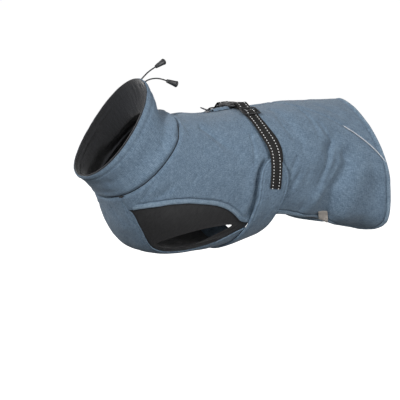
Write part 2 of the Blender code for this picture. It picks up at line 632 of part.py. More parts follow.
def zip_parts(tape_finish, flap_finish, metal):
    # the tape, under the panels' edges
    stations = np.linspace(ZIP_FRONT - 0.12, ZIP_END + 0.12, 22)
    angles = np.array([-5.0, -2.6, 0, 2.6, 5.0])
    grid = np.meshgrid(stations, angles, indexing="ij")
    low = -SOFTSHELL - 2 * SEAM
    wall("zip_tape", tape_finish, cloth(*grid, low), cloth(*grid, low - 1.0))

    # the flap that stands over the closed zip, between the slider and the belt
    stations = np.linspace(FLAP_FRONT, FLAP_END, 10)
    angles = np.array([-3.6, -2.4, -0.8, 0.8, 2.6, 4.2])
    arch = np.array([0.5, 2.2, 3.6, 4.0, 3.2, 1.4])
    grid = np.meshgrid(stations, angles, indexing="ij")
    wall("zip_flap", flap_finish, cloth(*grid, arch + 1.6), cloth(*grid, arch))

    # the slider: a wedge in the gap, with a bail on top for the pull
    place = ridge_place(SLIDER_STATION)
    xs = [-5, -3.4, -1.9, 1.9, 3.4, 5]
    ys = [-3.0, -1.0, 1.0, 3.0]

    def high(x, y):
        return 2.2 if abs(x) < 4 else 1.6

    plate_low = -SOFTSHELL + 0.3
    base = plate("zip_slider", metal, place, xs, ys, [], lambda x, y: plate_low, high)
    # the bail: a small arch, joined to the wedge
    turn = np.linspace(0, math.pi, 9)
    middle = [(-2.9 * math.cos(t), 2.0 + 3.1 * math.sin(t)) for t in turn]
    middle = [(-2.9, 1.2), *middle, (2.9, 1.2)]
    rings = []
    for k, (x, z) in enumerate(middle):
        before, after = middle[max(k - 1, 0)], middle[min(k + 1, len(middle) - 1)]
        run = np.array([after[0] - before[0], after[1] - before[1]])
        run = run / np.linalg.norm(run)
        side = np.array([-run[1], run[0]]) * 0.5
        rings.append([place.point(x + i * side[0], j * 0.8, z + i * side[1])
                      for i, j in ((-1, -1), (1, -1), (1, 1), (-1, 1))])
    bail = tube("zip_bail", metal, np.array(rings))
    joined = base.modifiers.new("bail", "BOOLEAN")
    joined.operation = "UNION"
    joined.object = bail
    bail.hide_render = True
    bail.display_type = "WIRE"

    # the pull: a wire loop through the bail, lying forward, its origin on its hinge axis
    pivot = place.point(0, 0, 3.55)
    axis_x = -math.cos(PULL_TILT) * place.along + math.sin(PULL_TILT) * place.up
    count = 28
    path = []
    for k in range(count):
        t = 2 * math.pi * k / count
        x = PULL_LENGTH / 2 * (1 - math.cos(t))
        path.append((x, PULL_WIDTH / 2 * math.copysign(abs(math.sin(t))**0.75, math.sin(t))))
    path = np.array(path)
    run = unit(np.roll(path, -1, 0) - np.roll(path, 1, 0))
    side = np.stack([run[:, 1], -run[:, 0]], 1)
    up = np.cross(axis_x, place.across)
    rings = []
    for centre, away in zip(path, side):
        ring = []
        for k in range(6):
            t = 2 * math.pi * k / 6
            flat = centre + away * PULL_WIRE / 2 * math.cos(t)
            ring.append(axis_x * flat[0] + place.across * flat[1] + up * PULL_WIRE / 2 * math.sin(t))
        rings.append(ring)
    pull = tube("zip_pull", metal, np.array(rings), closed=True)
    pull.location = Vector(pivot * MM)


# ---------------------------------------------------------------- the drawcord's free ends

def lathe(start, direction, profile, sides=12):
    """Rings of a turned piece: profile rows are distance along the direction and radius."""
    direction = unit(np.array(direction, float))
    side = unit(np.cross(direction, (0.3, 1, 0.2)))
    other = np.cross(direction, side)
    rings = []
    for distance, radius in profile:
        rings.append([np.array(start) + direction * distance
                      + radius * (math.cos(t) * side + math.sin(t) * other)
                      for t in np.arange(sides) * 2 * math.pi / sides])
    return rings


def cord_end(name, finish, start, direction):
    """A moulded cone: narrow where the cord enters, with a rim at its wide end."""
    length = CORD_END_LENGTH
    profile = [(0, 3.0), (1.2, 3.3), (length * 0.55, 4.4), (length - 2.6, 5.3), (length - 2.2, 5.7),
               (length - 0.6, 5.7), (length, 5.2)]
    return tube(name, finish, np.array(lathe(start, direction, profile)))


# Each free end: the places that its cord runs through, in millimetres, from the eyelet.
CORDS = {
    "upper": {"angle": -5.0, "route": ((8, 1, 6), (18, 2, 13.5), (28, 3, 19), (37, 4, 23))},
    "lower": {"angle": 9.0, "route": ((6, -1, 3.6), (14, -2, 5.4), (24, -3, 5.6), (34, -4, 3.6), (42, -5, 0.9))},
}


def drawcord(name, parts, cord_finish, end_finish, metal):
    base = cloth(EYELET_STATION, parts["angle"])
    up = outward(EYELET_STATION, parts["angle"])
    # the eyelet: a flat ring on the collar
    bottom = base + up * (SEAM + 0.1)
    rings = lathe(bottom, up, [(0, 3.6), (0.9, 3.4), (1.1, 2.4), (0.9, 1.65), (0, 1.65)])
    tube(f"eyelet_{name}", metal, np.array(rings), closed=True)
    # the cord: from just above the collar, through the eyelet
    first = base + up * (SEAM + 0.2)
    offsets = [(0, 0, 0)] + [tuple(up * 2.4)] + [tuple(np.array(step)) for step in parts["route"]]
    route = np.array([first + np.array(offset) for offset in offsets])
    points = smooth_route(route, 6.0)
    curve = bpy.data.curves.new(f"drawcord_{name}", "CURVE")
    curve.dimensions = "3D"
    curve.bevel_depth = CORD / 2 * MM
    curve.bevel_resolution = 2
    curve.use_fill_caps = True
    spline = curve.splines.new("POLY")
    spline.points.add(len(points) - 1)
    for target, point in zip(spline.points, points):
        target.co = (*(point * MM), 1)
    curve.materials.append(cord_finish)
    made = bpy.data.objects.new(f"drawcord_{name}", curve)
    bpy.context.collection.objects.link(made)
    direction = unit(points[-1] - points[-2])
    cord_end(f"cord_end_{name}", end_finish, points[-1] + direction * SEAM, direction)


# ---------------------------------------------------------------- the coat

def build():
    for old in list(bpy.data.objects):
        bpy.data.objects.remove(old, do_unlink=True)
    blue = material("softshell", (0.105, 0.165, 0.235), 0.75)
    edge = material("softshell_edge", (0.125, 0.19, 0.265), 0.7)
    dark = material("fleece_lining", (0.02, 0.021, 0.025), 0.95)
    stretch = material("stretch_cloth", (0.016, 0.016, 0.018), 0.8)
    web = material("webbing", (0.012, 0.012, 0.013), 0.8)
    plastic = material("moulded_plastic", (0.015, 0.015, 0.016), 0.4)
    light = material("reflective_piping", (0.55, 0.57, 0.6), 0.35)
    grey = material("label_cloth", (0.28, 0.27, 0.27), 0.8)
    metal = material("zip_metal", (0.25, 0.25, 0.26), 0.35, 1.0)
    cord = material("cord", (0.035, 0.036, 0.038), 0.8)
    rubber = material("cord_end", (0.04, 0.041, 0.043), 0.5)

    collar(blue, dark)
    for side, label in ((1, "left"), (-1, "right")):
        side_panel(f"side_panel_{label}", side, blue, edge, light, grey)
        leg_insert(side, stretch)
    back_yoke(blue, edge)
    chest_panel(blue)
    belly_strap(blue)
    belt(web, plastic)
    zip_parts(web, blue, metal)
    for name, parts in CORDS.items():
        drawcord(name, parts, cord, rubber, metal)


build()
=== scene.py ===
"""Dog winter coat, hollow and open as it is worn: its cloth, seams and trimmings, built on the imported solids.

Every place on the coat is a station (0 the collar's top edge, 9 the tail) and an angle in degrees from the top
of the back, positive on the coat's left. The head is at -X, the left side at -Y, up is +Z. The tables are in
millimetres, and a mesh is made in metres.
"""
import json
import math

import bmesh
import bpy
import numpy as np
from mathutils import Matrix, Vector

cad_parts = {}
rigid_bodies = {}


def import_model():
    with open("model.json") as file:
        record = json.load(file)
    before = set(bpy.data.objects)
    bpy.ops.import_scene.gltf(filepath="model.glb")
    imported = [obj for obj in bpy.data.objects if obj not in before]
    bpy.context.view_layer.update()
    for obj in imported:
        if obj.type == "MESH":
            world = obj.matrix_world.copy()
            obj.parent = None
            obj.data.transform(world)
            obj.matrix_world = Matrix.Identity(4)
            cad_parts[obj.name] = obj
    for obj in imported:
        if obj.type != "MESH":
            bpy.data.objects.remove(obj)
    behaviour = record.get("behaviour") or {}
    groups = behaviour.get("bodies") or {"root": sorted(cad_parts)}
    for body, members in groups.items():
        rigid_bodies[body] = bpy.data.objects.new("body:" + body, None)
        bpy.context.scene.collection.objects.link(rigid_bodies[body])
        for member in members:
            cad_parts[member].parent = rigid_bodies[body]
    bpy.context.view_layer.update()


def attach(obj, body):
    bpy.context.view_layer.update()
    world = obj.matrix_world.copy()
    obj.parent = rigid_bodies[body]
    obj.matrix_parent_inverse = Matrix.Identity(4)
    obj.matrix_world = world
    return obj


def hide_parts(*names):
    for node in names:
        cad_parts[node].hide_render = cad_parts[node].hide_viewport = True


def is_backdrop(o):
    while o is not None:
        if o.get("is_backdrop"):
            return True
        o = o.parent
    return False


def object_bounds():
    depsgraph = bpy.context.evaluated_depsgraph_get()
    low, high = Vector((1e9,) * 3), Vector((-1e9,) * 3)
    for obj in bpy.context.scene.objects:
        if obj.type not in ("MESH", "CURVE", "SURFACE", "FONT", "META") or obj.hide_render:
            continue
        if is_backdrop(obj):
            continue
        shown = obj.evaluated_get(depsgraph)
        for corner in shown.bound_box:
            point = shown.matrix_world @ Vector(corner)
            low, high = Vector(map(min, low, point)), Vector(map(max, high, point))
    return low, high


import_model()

MM = 0.001
scene = bpy.context.scene
scene.view_settings.view_transform = "Standard"

# ------------------------------------------------------------------ studio
# A pale floor under the coat, at the height where the wearer's paws would stand, a pale world, and large soft
# lights. The camera stands where the photograph was taken: to the left of the head, a little above the back.
FLOOR_HEIGHT = -0.47
LOOK_AT = Vector((-0.137, 0.0, -0.162))
CAMERA_AZIMUTH = math.radians(-37)
CAMERA_ELEVATION = math.radians(9)
CAMERA_DISTANCE = 2.678

camera_data = bpy.data.cameras.new("camera")
camera_data.lens = 135
camera_data.sensor_width = 36
camera = bpy.data.objects.new("camera", camera_data)
scene.collection.objects.link(camera)
away = Vector((math.sin(CAMERA_AZIMUTH) * math.cos(CAMERA_ELEVATION),
               -math.cos(CAMERA_AZIMUTH) * math.cos(CAMERA_ELEVATION),
               math.sin(CAMERA_ELEVATION)))
camera.location = LOOK_AT + away * CAMERA_DISTANCE
camera.rotation_euler = (-away).to_track_quat("-Z", "Y").to_euler()
scene.camera = camera

world = bpy.data.worlds.new("studio")
world.use_nodes = True
world.node_tree.nodes["Background"].inputs["Color"].default_value = (1.0, 1.0, 1.0, 1)
world.node_tree.nodes["Background"].inputs["Strength"].default_value = 0.20
scene.world = world

floor_mesh = bpy.data.meshes.new("floor")
floor_mesh.from_pydata([(x, y, FLOOR_HEIGHT) for x, y in ((-30, -30), (30, -30), (30, 30), (-30, 30))], [],
                       [(0, 1, 2, 3)])
floor = bpy.data.objects.new("floor", floor_mesh)
scene.collection.objects.link(floor)
paper = bpy.data.materials.new("pale_paper")
paper.use_nodes = True
paper_shader = paper.node_tree.nodes["Principled BSDF"]
paper_shader.inputs["Base Color"].default_value = (0.8, 0.8, 0.8, 1)
paper_shader.inputs["Roughness"].default_value = 0.9
paper_shader.inputs["Emission Color"].default_value = (1.0, 1.0, 1.0, 1)
paper_shader.inputs["Emission Strength"].default_value = 0.85
floor_mesh.materials.append(paper)
# the floor is lit from below like a light table, and that light doesn't reach the coat
floor.visible_diffuse = False
floor.visible_glossy = False
floor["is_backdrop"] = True

# each light: place, power in watts, edge length
TARGET = Vector((-0.05, 0, -0.12))
for name, place, power, edge in (("key_light", (0.7, -2.4, 0.9), 30, 0.9),
                                 ("fill_light", (-0.8, -2.6, 0.0), 12, 1.4),
                                 ("back_light", (0.8, 2.2, 1.6), 12, 1.6),
                                 ("far_light", (-1.5, 2.0, 0.5), 24, 0.8),
                                 ("top_light", (0.1, -0.4, 2.2), 4, 1.2)):
    light_data = bpy.data.lights.new(name, "AREA")
    light_data.energy = power
    light_data.size = edge
    light = bpy.data.objects.new(name, light_data)
    light.location = place
    light.rotation_euler = (TARGET - Vector(place)).to_track_quat("-Z", "Y").to_euler()
    scene.collection.objects.link(light)
# a soft-edged spot from the head's side rakes over the folds behind the belt, and leaves the neck in shade
rake_data = bpy.data.lights.new("rake_light", "SPOT")
rake_data.energy = 230
rake_data.spot_size = math.radians(22)
rake_data.spot_blend = 1.0
rake_data.shadow_soft_size = 0.16
rake = bpy.data.objects.new("rake_light", rake_data)
rake.location = (-2.3, -1.0, 1.1)
rake.rotation_euler = (Vector((0.17, 0, -0.1)) - rake.location).to_track_quat("-Z", "Y").to_euler()
scene.collection.objects.link(rake)


# ------------------------------------------------------------------ the coat's form
# The cloth keeps the form of a general dog's neck and trunk: rings from the collar to the tail, with the folds
# that the cloth makes over the shoulder, behind the belt and over the thigh.
class Table:
    """Rows under named columns, read by the first column."""

    def __init__(self, columns, *rows):
        self.columns = columns.split()
        self.rows = np.array(rows, float)

    def smooth(self, name, at):
        """A curve through the rows: cubic, with each row's slope taken from its two neighbours."""
        x, y = self.rows[:, 0], self.rows[:, self.columns.index(name)]
        last = len(x) - 1
        at = np.clip(np.asarray(at, float), x[0], x[-1])
        slope = np.array([(y[min(k + 1, last)] - y[max(k - 1, 0)]) / (x[min(k + 1, last)] - x[max(k - 1, 0)])
                          for k in range(len(x))])
        k = np.clip(np.searchsorted(x, at, side="right") - 1, 0, last - 1)
        step = x[k + 1] - x[k]
        t = (at - x[k]) / step
        return ((2 * t**3 - 3 * t**2 + 1) * y[k] + (t**3 - 2 * t**2 + t) * step * slope[k]
                + (3 * t**2 - 2 * t**3) * y[k + 1] + (t**3 - t**2) * step * slope[k + 1])

    def straight(self, name, at):
        return np.interp(at, self.rows[:, 0], self.rows[:, self.columns.index(name)])


RINGS = Table(
    "station back_x back_z belly_x belly_z half_width widest round_up round_low bow",
    (0, -268, 61, -387, -99, 66, .52, 2.1, 2.2, 4),
    (1, -213, 0, -343, -138, 85, .50, 2.1, 2.4, 12),
    (2, -173, -4, -316, -197, 94, .52, 2.2, 2.3, 8),
    (3, -131, -7, -280, -233, 99, .52, 2.3, 2.4, 3),
    (4, -89, -4, -220, -247, 101, .50, 2.3, 2.5, 0),
    (5, -51, -1, -125, -245, 102, .50, 2.3, 2.4, 0),
    (6, 0, 0, -30, -227, 102, .50, 2.3, 2.3, 0),
    (7, 62, 4, 55, -220, 102, .50, 2.2, 2.6, 1),
    (8, 130, 3, 136, -232, 104, .55, 1.9, 3.4, 6),
    (9, 199, 1, 224, -248, 110, .60, 1.65, 4.4, 13),
)
STATION_LENGTH = 56.0     # millimetres of cloth to a station
DEGREE_LENGTH = 1.85      # millimetres of cloth to a degree
SIDES = ((1, "left"), (-1, "right"))

# The largest folds, as the solids have them: side 1 is the left, -1 the right.
FOLDS = [
    (1, 7.90, 76, 7.25, 106, -7.0, 15), (1, 7.25, 106, 7.40, 136, -6.0, 16), (1, 8.15, 88, 7.85, 130, 6.0, 22),
    (1, 7.35, 72, 6.75, 108, -4.0, 12), (1, 7.60, 60, 7.30, 74, -4.0, 10), (1, 7.02, 84, 6.90, 130, 4.5, 20),
    (1, 8.60, 96, 8.45, 145, -3.5, 18), (1, 5.95, 22, 6.30, 60, -3.0, 9), (1, 2.10, 38, 4.10, 66, -2.5, 10),
    (1, 1.45, 128, 1.70, 106, -2.0, 9),
    (-1, 8.05, 80, 7.45, 112, -6.0, 15), (-1, 7.45, 112, 7.35, 140, -5.5, 16),
    (-1, 8.40, 92, 8.10, 138, 5.5, 22), (-1, 7.20, 66, 6.60, 104, -4.0, 12), (-1, 7.00, 92, 6.80, 132, 4.0, 20),
    (-1, 6.00, 26, 6.40, 58, -3.0, 9), (-1, 2.30, 42, 4.20, 60, -2.5, 10),
]
# Smaller creases and the ridges beside them. Each is a side and the places that it runs through: station, angle,
# height and half width.
CREASES = [
    (1, (7.16, 44, 0, 3.5), (7.22, 48, -1.6, 3.6), (7.35, 59, -2.6, 3.6), (7.50, 63, -4.6, 3.6),
     (7.40, 69, -4.8, 3.4), (7.25, 80, -4.2, 3.6), (7.15, 92, -4.2, 4.0), (7.00, 105, -3.6, 4.6),
     (6.88, 112, -1.6, 5.5), (6.84, 122, 0, 6.0)),
    (1, (7.54, 67, 0, 3.4), (7.47, 73, 2.4, 3.6), (7.30, 87, 2.6, 4.0), (7.10, 103, 2.2, 5.0), (7.00, 114, 0, 6.0)),
    (1, (7.66, 76, 0, 5.0), (7.60, 83, 3.0, 5.0), (7.38, 97, 3.6, 5.5), (7.18, 109, 3.2, 6.0), (6.98, 119, 2.0, 7.0),
     (6.90, 130, 0, 8.0)),
    (1, (7.72, 71, 0, 5.0), (7.78, 75, -3.4, 5.0), (7.88, 82, -4.4, 5.5), (7.74, 93, -4.8, 6.5),
     (7.48, 107, -5.0, 7.0), (7.45, 120, -4.6, 7.0), (7.50, 136, -3.0, 8.0)),
    (1, (7.20, 106, 5.5, 15.0), (7.30, 106, 5.5, 15.0)),
    (1, (6.72, 88, 0, 4.5), (6.65, 93, -1.8, 4.5), (6.55, 102, -1.6, 5.0), (6.50, 110, 0, 6.0)),
    (1, (6.38, 91, 0, 4.0), (6.32, 94, -2.4, 4.0), (6.10, 104, -2.4, 4.2), (6.02, 110, 0, 5.0)),
    (1, (6.26, 75, 0, 3.8), (6.22, 78, -2.4, 3.8), (6.05, 90, -2.0, 4.2), (6.00, 96, 0, 5.0)),
    (1, (5.84, 26, 0, 3.6), (5.88, 33, -2.0, 3.6), (5.95, 46, -2.6, 3.8), (6.12, 57, -2.2, 4.0), (6.20, 63, 0, 5.0)),
    (1, (6.80, 24, 0, 4.0), (6.85, 28, -1.6, 4.0), (7.00, 45, -2.2, 4.0), (7.02, 58, -1.8, 4.4), (7.02, 66, 0, 5.0)),
    (1, (6.40, 58, 0, 4.0), (6.43, 63, -1.6, 4.0), (6.45, 71, -1.4, 4.5), (6.42, 78, 0, 5.0)),
    (1, (8.05, 90, 0, 8.0), (7.95, 100, 1.6, 9.0), (7.85, 125, 1.4, 10.0), (7.85, 138, 0, 10.0)),
    (1, (8.50, 78, 0, 6.0), (8.55, 81, -1.2, 6.0), (8.65, 98, -1.4, 7.0), (8.60, 118, 0, 8.0)),
    (1, (7.95, 128, 0, 6.0), (8.20, 127, 1.2, 7.0), (8.58, 127, 0.8, 8.0)),
    (1, (6.72, 112, 0, 5.0), (6.66, 120, -1.4, 6.0), (6.60, 131, -1.2, 6.0)),
    (1, (2.00, 36, 0, 3.6), (2.10, 38, -2.0, 3.6), (3.03, 51, -2.6, 3.8), (3.70, 59, -1.6, 4.2), (4.05, 64, 0, 4.8)),
    (1, (2.10, 43, 0, 5.0), (3.00, 56, 1.2, 5.0), (3.60, 64, 0, 5.0)),
    (1, (4.50, 46, 0, 3.6), (4.53, 50, -2.4, 3.6), (4.68, 62, -2.6, 3.8), (4.76, 73, -1.6, 4.2), (4.78, 80, 0, 5.0)),
    (1, (1.45, 140, 0, 4.0), (1.35, 135, -2.0, 4.0), (1.12, 116, -1.8, 4.0), (1.08, 108, 0, 5.0)),
    (1, (1.50, 130, 0, 5.0), (1.60, 122, -1.4, 5.0), (1.80, 102, -0.8, 6.0), (1.90, 96, 0, 6.0)),
    (1, (0.56, 74, 0, 4.0), (0.66, 79, -2.0, 4.0), (0.94, 88, -2.0, 4.0)),
    (1, (2.20, 100, 0, 7.0), (2.35, 92, -0.9, 7.0), (2.60, 79, 0, 8.0)),
    (1, (1.10, 28, 0, 5.0), (1.20, 34, -1.2, 5.0), (1.45, 50, -0.6, 6.0)),
    (-1, (7.12, 42, 0, 4.0), (7.24, 52, -1.8, 4.0), (7.46, 60, -3.8, 4.0), (7.36, 70, -4.2, 3.8),
     (7.20, 84, -3.6, 4.2), (7.04, 100, -2.6, 5.0), (6.90, 118, 0, 6.0)),
    (-1, (7.50, 68, 0, 4.0), (7.36, 82, 2.2, 4.5), (7.14, 102, 1.6, 6.0), (7.00, 118, 0, 7.0)),
    (-1, (7.86, 70, 0, 5.0), (7.98, 77, -3.0, 5.5), (7.86, 90, -4.2, 6.5), (7.58, 104, -4.4, 7.0),
     (7.46, 122, -3.6, 8.0), (7.50, 138, -2.0, 8.0)),
    (-1, (7.40, 112, 5.0, 15.0), (7.50, 112, 5.0, 15.0)),
    (-1, (7.72, 80, 0, 6.0), (7.55, 94, 2.8, 6.0), (7.30, 110, 2.6, 7.0), (7.10, 128, 0, 8.0)),
    (-1, (6.44, 90, 0, 4.0), (6.34, 97, -2.2, 4.2), (6.14, 108, -1.8, 4.6), (6.08, 116, 0, 5.0)),
    (-1, (6.30, 70, 0, 4.0), (6.24, 76, -2.0, 4.0), (6.12, 88, -1.4, 4.6), (6.08, 94, 0, 5.0)),
    (-1, (5.98, 24, 0, 4.0), (6.04, 34, -2.0, 4.0), (6.16, 50, -1.8, 4.4), (6.34, 60, 0, 5.0)),
    (-1, (6.90, 30, 0, 4.0), (7.00, 44, -1.8, 4.4), (7.00, 56, 0, 5.0)),
    (-1, (8.46, 84, 0, 6.0), (8.56, 98, -1.4, 7.0), (8.50, 120, 0, 8.0)),
    (-1, (2.10, 38, 0, 4.0), (2.28, 42, -1.8, 4.0), (3.20, 51, -2.2, 4.2), (3.90, 59, 0, 5.0)),
    (-1, (4.40, 50, 0, 4.0), (4.52, 60, -2.0, 4.0), (4.66, 74, 0, 4.6)),
    (-1, (1.50, 138, 0, 4.0), (1.42, 130, -1.8, 4.4), (1.20, 112, 0, 5.0)),
    (-1, (0.60, 70, 0, 4.0), (0.70, 78, -1.6, 4.4), (0.95, 84, -1.4, 4.6)),
]


def figure(station, angle):
    """Points of the general figure's skin, before folds."""
    station, angle = np.broadcast_arrays(np.asarray(station, float), np.asarray(angle, float))
    ring = {name: RINGS.smooth(name, station) for name in RINGS.columns[1:]}
    turn = np.radians(angle)
    up, side = np.cos(turn), np.sin(turn)
    power = np.where(up > 0, ring["round_up"], ring["round_low"])
    reach = (np.abs(up)**power + np.abs(side)**power)**(-1 / power)
    share = np.where(up > 0, ring["widest"], 1 - ring["widest"]) * up * reach
    middle_x = ring["back_x"] + ring["widest"] * (ring["belly_x"] - ring["back_x"])
    middle_z = ring["back_z"] + ring["widest"] * (ring["belly_z"] - ring["back_z"])
    return np.stack([middle_x + share * (ring["back_x"] - ring["belly_x"]) + ring["bow"] * side**2,
                     -side * reach * ring["half_width"],
                     middle_z + share * (ring["back_z"] - ring["belly_z"])], -1)


def unit(vectors):
    return vectors / np.linalg.norm(vectors, axis=-1, keepdims=True)


def outward(station, angle):
    """Unit normals of the figure."""
    station, angle = np.broadcast_arrays(np.asarray(station, float), np.asarray(angle, float))
    ahead = np.clip(station + 0.02, 0, 9)
    behind = np.clip(station - 0.02, 0, 9)
    along = figure(ahead, angle) - figure(behind, angle)
    around = figure(station, angle + 0.5) - figure(station, angle - 0.5)
    return unit(np.cross(around, along))


def cloth_map(station, angle):
    """The cloth's own map, in millimetres along and across the coat."""
    return np.stack([station * STATION_LENGTH, angle * DEGREE_LENGTH], -1)


def beside_run(here, start, run):
    """How far along a straight run each place lies, from 0 to 1, and its distance from the run."""
    along = np.clip(((here - start) @ run) / (run @ run + 1e-9), 0, 1)
    return along, np.linalg.norm(here - start - along[..., None] * run, axis=-1)


def hump(apart, half_width):
    """A soft rounded section, 1 in the middle."""
    return np.exp(-(apart / half_width)**2)


def fold_height(station, angle):
    """Height of the folds at places; each is a soft ridge or trough, rounded at its ends."""
    total = np.zeros(np.shape(station))
    here = cloth_map(station, np.abs(angle))
    for side, station_a, angle_a, station_b, angle_b, height, half_width in FOLDS:
        start, end = cloth_map(station_a, angle_a), cloth_map(station_b, angle_b)
        apart = beside_run(here, start, end - start)[1]
        total = total + np.where(np.sign(angle) == side, height * hump(apart, half_width), 0)
    return total


def crease_height(station, angle):
    """Height of the creases at places; each follows its line, which runs out at both ends."""
    total = np.zeros(np.shape(station))
    here = cloth_map(station, np.abs(angle))
    for side, *line in CREASES:
        line = np.array(line, float) * (STATION_LENGTH, DEGREE_LENGTH, 1, 1)
        nearest, height, half_width = np.full(total.shape, 1e9), 0.0, 1.0
        for start, end in zip(line[:-1], line[1:]):
            along, apart = beside_run(here, start[:2], (end - start)[:2])
            closer = apart < nearest
            nearest = np.where(closer, apart, nearest)
            height = np.where(closer, start[2] + along * (end[2] - start[2]), height)
            half_width = np.where(closer, start[3] + along * (end[3] - start[3]), half_width)
        total = total + np.where(np.sign(angle) == side, height * hump(nearest, half_width), 0)
    return total


def ripple(station, angle, length, seed):
    """Soft unevenness between -1 and 1, of about that length in millimetres, the same on each run."""
    draw = np.random.default_rng(seed)
    u, v = station * STATION_LENGTH, angle * DEGREE_LENGTH
    total = np.zeros(np.broadcast(u, v).shape)
    for _ in range(9):
        turn = draw.uniform(0, math.pi)
        phase = draw.uniform(0, 2 * math.pi)
        wave = length * draw.uniform(0.7, 1.5)
        total = total + np.sin((u * math.cos(turn) + v * math.sin(turn)) * 2 * math.pi / wave + phase)
    return total / 5


def cloth(station, angle, height=0.0):
    """Points on the coat's face, moved out by height."""
    station, angle = np.broadcast_arrays(np.asarray(station, float), np.asarray(angle, float))
    rise = (np.asarray(height) + fold_height(station, angle) + crease_height(station, angle)
            + 0.35 * ripple(station, angle, 46, 3) + 0.22 * ripple(station, angle, 19, 4))
    return figure(station, angle) + rise[..., None] * outward(station, angle)


# ------------------------------------------------------------------ drawcord
# An elastic cord runs through the collar's hem. Its two free ends come out at the nape through small eyelets and
# carry moulded bell ends. The cord is a braid, 2.5 mm thick.
CORD = 2.5
CORD_STATION = 0.09
SEAM = 0.3


def smooth_route(route, spacing):
    """Points at about even spacing on a smooth curve through a route's points."""
    route = np.array(route, float)
    ends = np.vstack([2 * route[0] - route[1], route, 2 * route[-1] - route[-2]])
    points = []
    for k in range(1, len(ends) - 2):
        before, here, after, beyond = ends[k - 1:k + 3]
        parts = max(1, round(float(np.linalg.norm(after - here)) / spacing))
        for step in range(parts):
            t = step / parts
            points.append(0.5 * (2 * here + (after - before) * t
                                 + (2 * before - 5 * here + 4 * after - beyond) * t**2
                                 + (3 * here - before - 3 * after + beyond) * t**3))
    points.append(route[-1])
    return np.array(points)


def run_length(points):
    """Length along a line of points, from its start to each point."""
    return np.concatenate([[0], np.cumsum(np.linalg.norm(np.diff(points, axis=0), axis=1))])


def circle_turns(count):
    return np.arange(count) * 2 * math.pi / count


def grid_map(along, around):
    """A map over a grid, from its sizes along and around."""
    return np.stack(np.meshgrid(along, around, indexing="ij"), -1)


def grid_mesh(name, points, uv, finishes, around=False, along=False):
    """A mesh over a grid of points in millimetres, with a UV map in metres. around joins the last column to the
    first, along the last row to the first."""
    rows, columns = points.shape[:2]
    mesh = bpy.data.meshes.new(name)
    corners = []
    for r in range(rows if along else rows - 1):
        for c in range(columns if around else columns - 1):
            corners.append(((r, c), (r, c + 1), (r + 1, c + 1), (r + 1, c)))
    faces = [[(r % rows) * columns + c % columns for r, c in face] for face in corners]
    mesh.from_pydata((points.reshape(-1, 3) * MM).tolist(), [], faces)
    # one more row and column of the map, so that a joined grid's pattern doesn't run back over its last cells
    wide = np.concatenate([uv, 2 * uv[:, -1:] - uv[:, -2:-1]], 1)
    wide = np.concatenate([wide, 2 * wide[-1:] - wide[-2:-1]], 0)
    index = np.array([[r * (columns + 1) + c for r, c in face] for face in corners]).ravel()
    layer = mesh.uv_layers.new(name="UVMap")
    layer.data.foreach_set("uv", wide.reshape(-1, 2)[index].ravel() * MM)
    for made in finishes:
        mesh.materials.append(made)
    mesh.shade_smooth()
    obj = bpy.data.objects.new(name, mesh)
    scene.collection.objects.link(obj)
    return obj


def outwards(obj):
    """Merges doubles and turns a closed piece's faces outwards."""
    body = bmesh.new()
    body.from_mesh(obj.data)
    bmesh.ops.remove_doubles(body, verts=body.verts, dist=0.000005)
    bmesh.ops.recalc_face_normals(body, faces=body.faces)
    body.to_mesh(obj.data)
    body.free()
    return obj


def plain(obj, sharp=None):
    """Turns what the object's modifiers make into its own mesh."""
    bpy.context.view_layer.update()
    graph = bpy.context.evaluated_depsgraph_get()
    mesh = bpy.data.meshes.new_from_object(obj.evaluated_get(graph), preserve_all_data_layers=True,
                                           depsgraph=graph)
    obj.modifiers.clear()
    obj.data = mesh
    if sharp is not None:
        mesh.shade_smooth()
        mesh.set_sharp_from_angle(angle=math.radians(sharp))
    return obj


def sweep(name, rings, uv, made, closed=False):
    """A tube through rings of points; an open one is capped with a fan at each end."""
    if not closed:
        middle_first = np.repeat(rings[:1].mean(1, keepdims=True), rings.shape[1], 1)
        middle_last = np.repeat(rings[-1:].mean(1, keepdims=True), rings.shape[1], 1)
        rings = np.concatenate([middle_first, rings, middle_last])
        uv = np.concatenate([uv[:1], uv, uv[-1:]])
    return outwards(grid_mesh(name, rings, uv, [made], around=True, along=closed))


def round_rings(path, radii, sides):
    """Rings round a path with a radius at each point, and their UV in millimetres."""
    run = unit(np.gradient(path, axis=0))
    side = unit(np.cross(run, (0.3, 1, 0.2)))
    other = np.cross(run, side)
    turn = circle_turns(sides)
    radii = np.broadcast_to(radii, len(path))[:, None, None]
    circle = np.cos(turn)[:, None] * side[:, None] + np.sin(turn)[:, None] * other[:, None]
    return path[:, None] + radii * circle, grid_map(run_length(path), turn * float(np.mean(radii)))


def place_piece(obj, slot_name, *nodes, body="coat"):
    """The piece rides on a body of the coat and stands for its solids, which it hides. slot_name is not used."""
    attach(obj, body)
    if nodes:
        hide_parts(*nodes)
    return obj


# Short words for a material's nodes.
def new_finish(name, roughness, metallic=0.0, sheen=0.0):
    made = bpy.data.materials.new(name)
    made.use_nodes = True
    shader = made.node_tree.nodes["Principled BSDF"]
    shader.inputs["Roughness"].default_value = roughness
    shader.inputs["Metallic"].default_value = metallic
    shader.inputs["Sheen Weight"].default_value = sheen
    shader.inputs["Sheen Roughness"].default_value = 0.5
    return made, made.node_tree, shader


def coordinates(tree, kind, scale, turn=0.0):
    """Texture coordinates, scaled to a pattern's size."""
    source = tree.nodes.new("ShaderNodeTexCoord")
    mapping = tree.nodes.new("ShaderNodeMapping")
    mapping.inputs["Scale"].default_value = scale
    mapping.inputs["Rotation"].default_value = (0, 0, turn)
    tree.links.new(source.outputs[kind], mapping.inputs["Vector"])
    return mapping.outputs["Vector"]


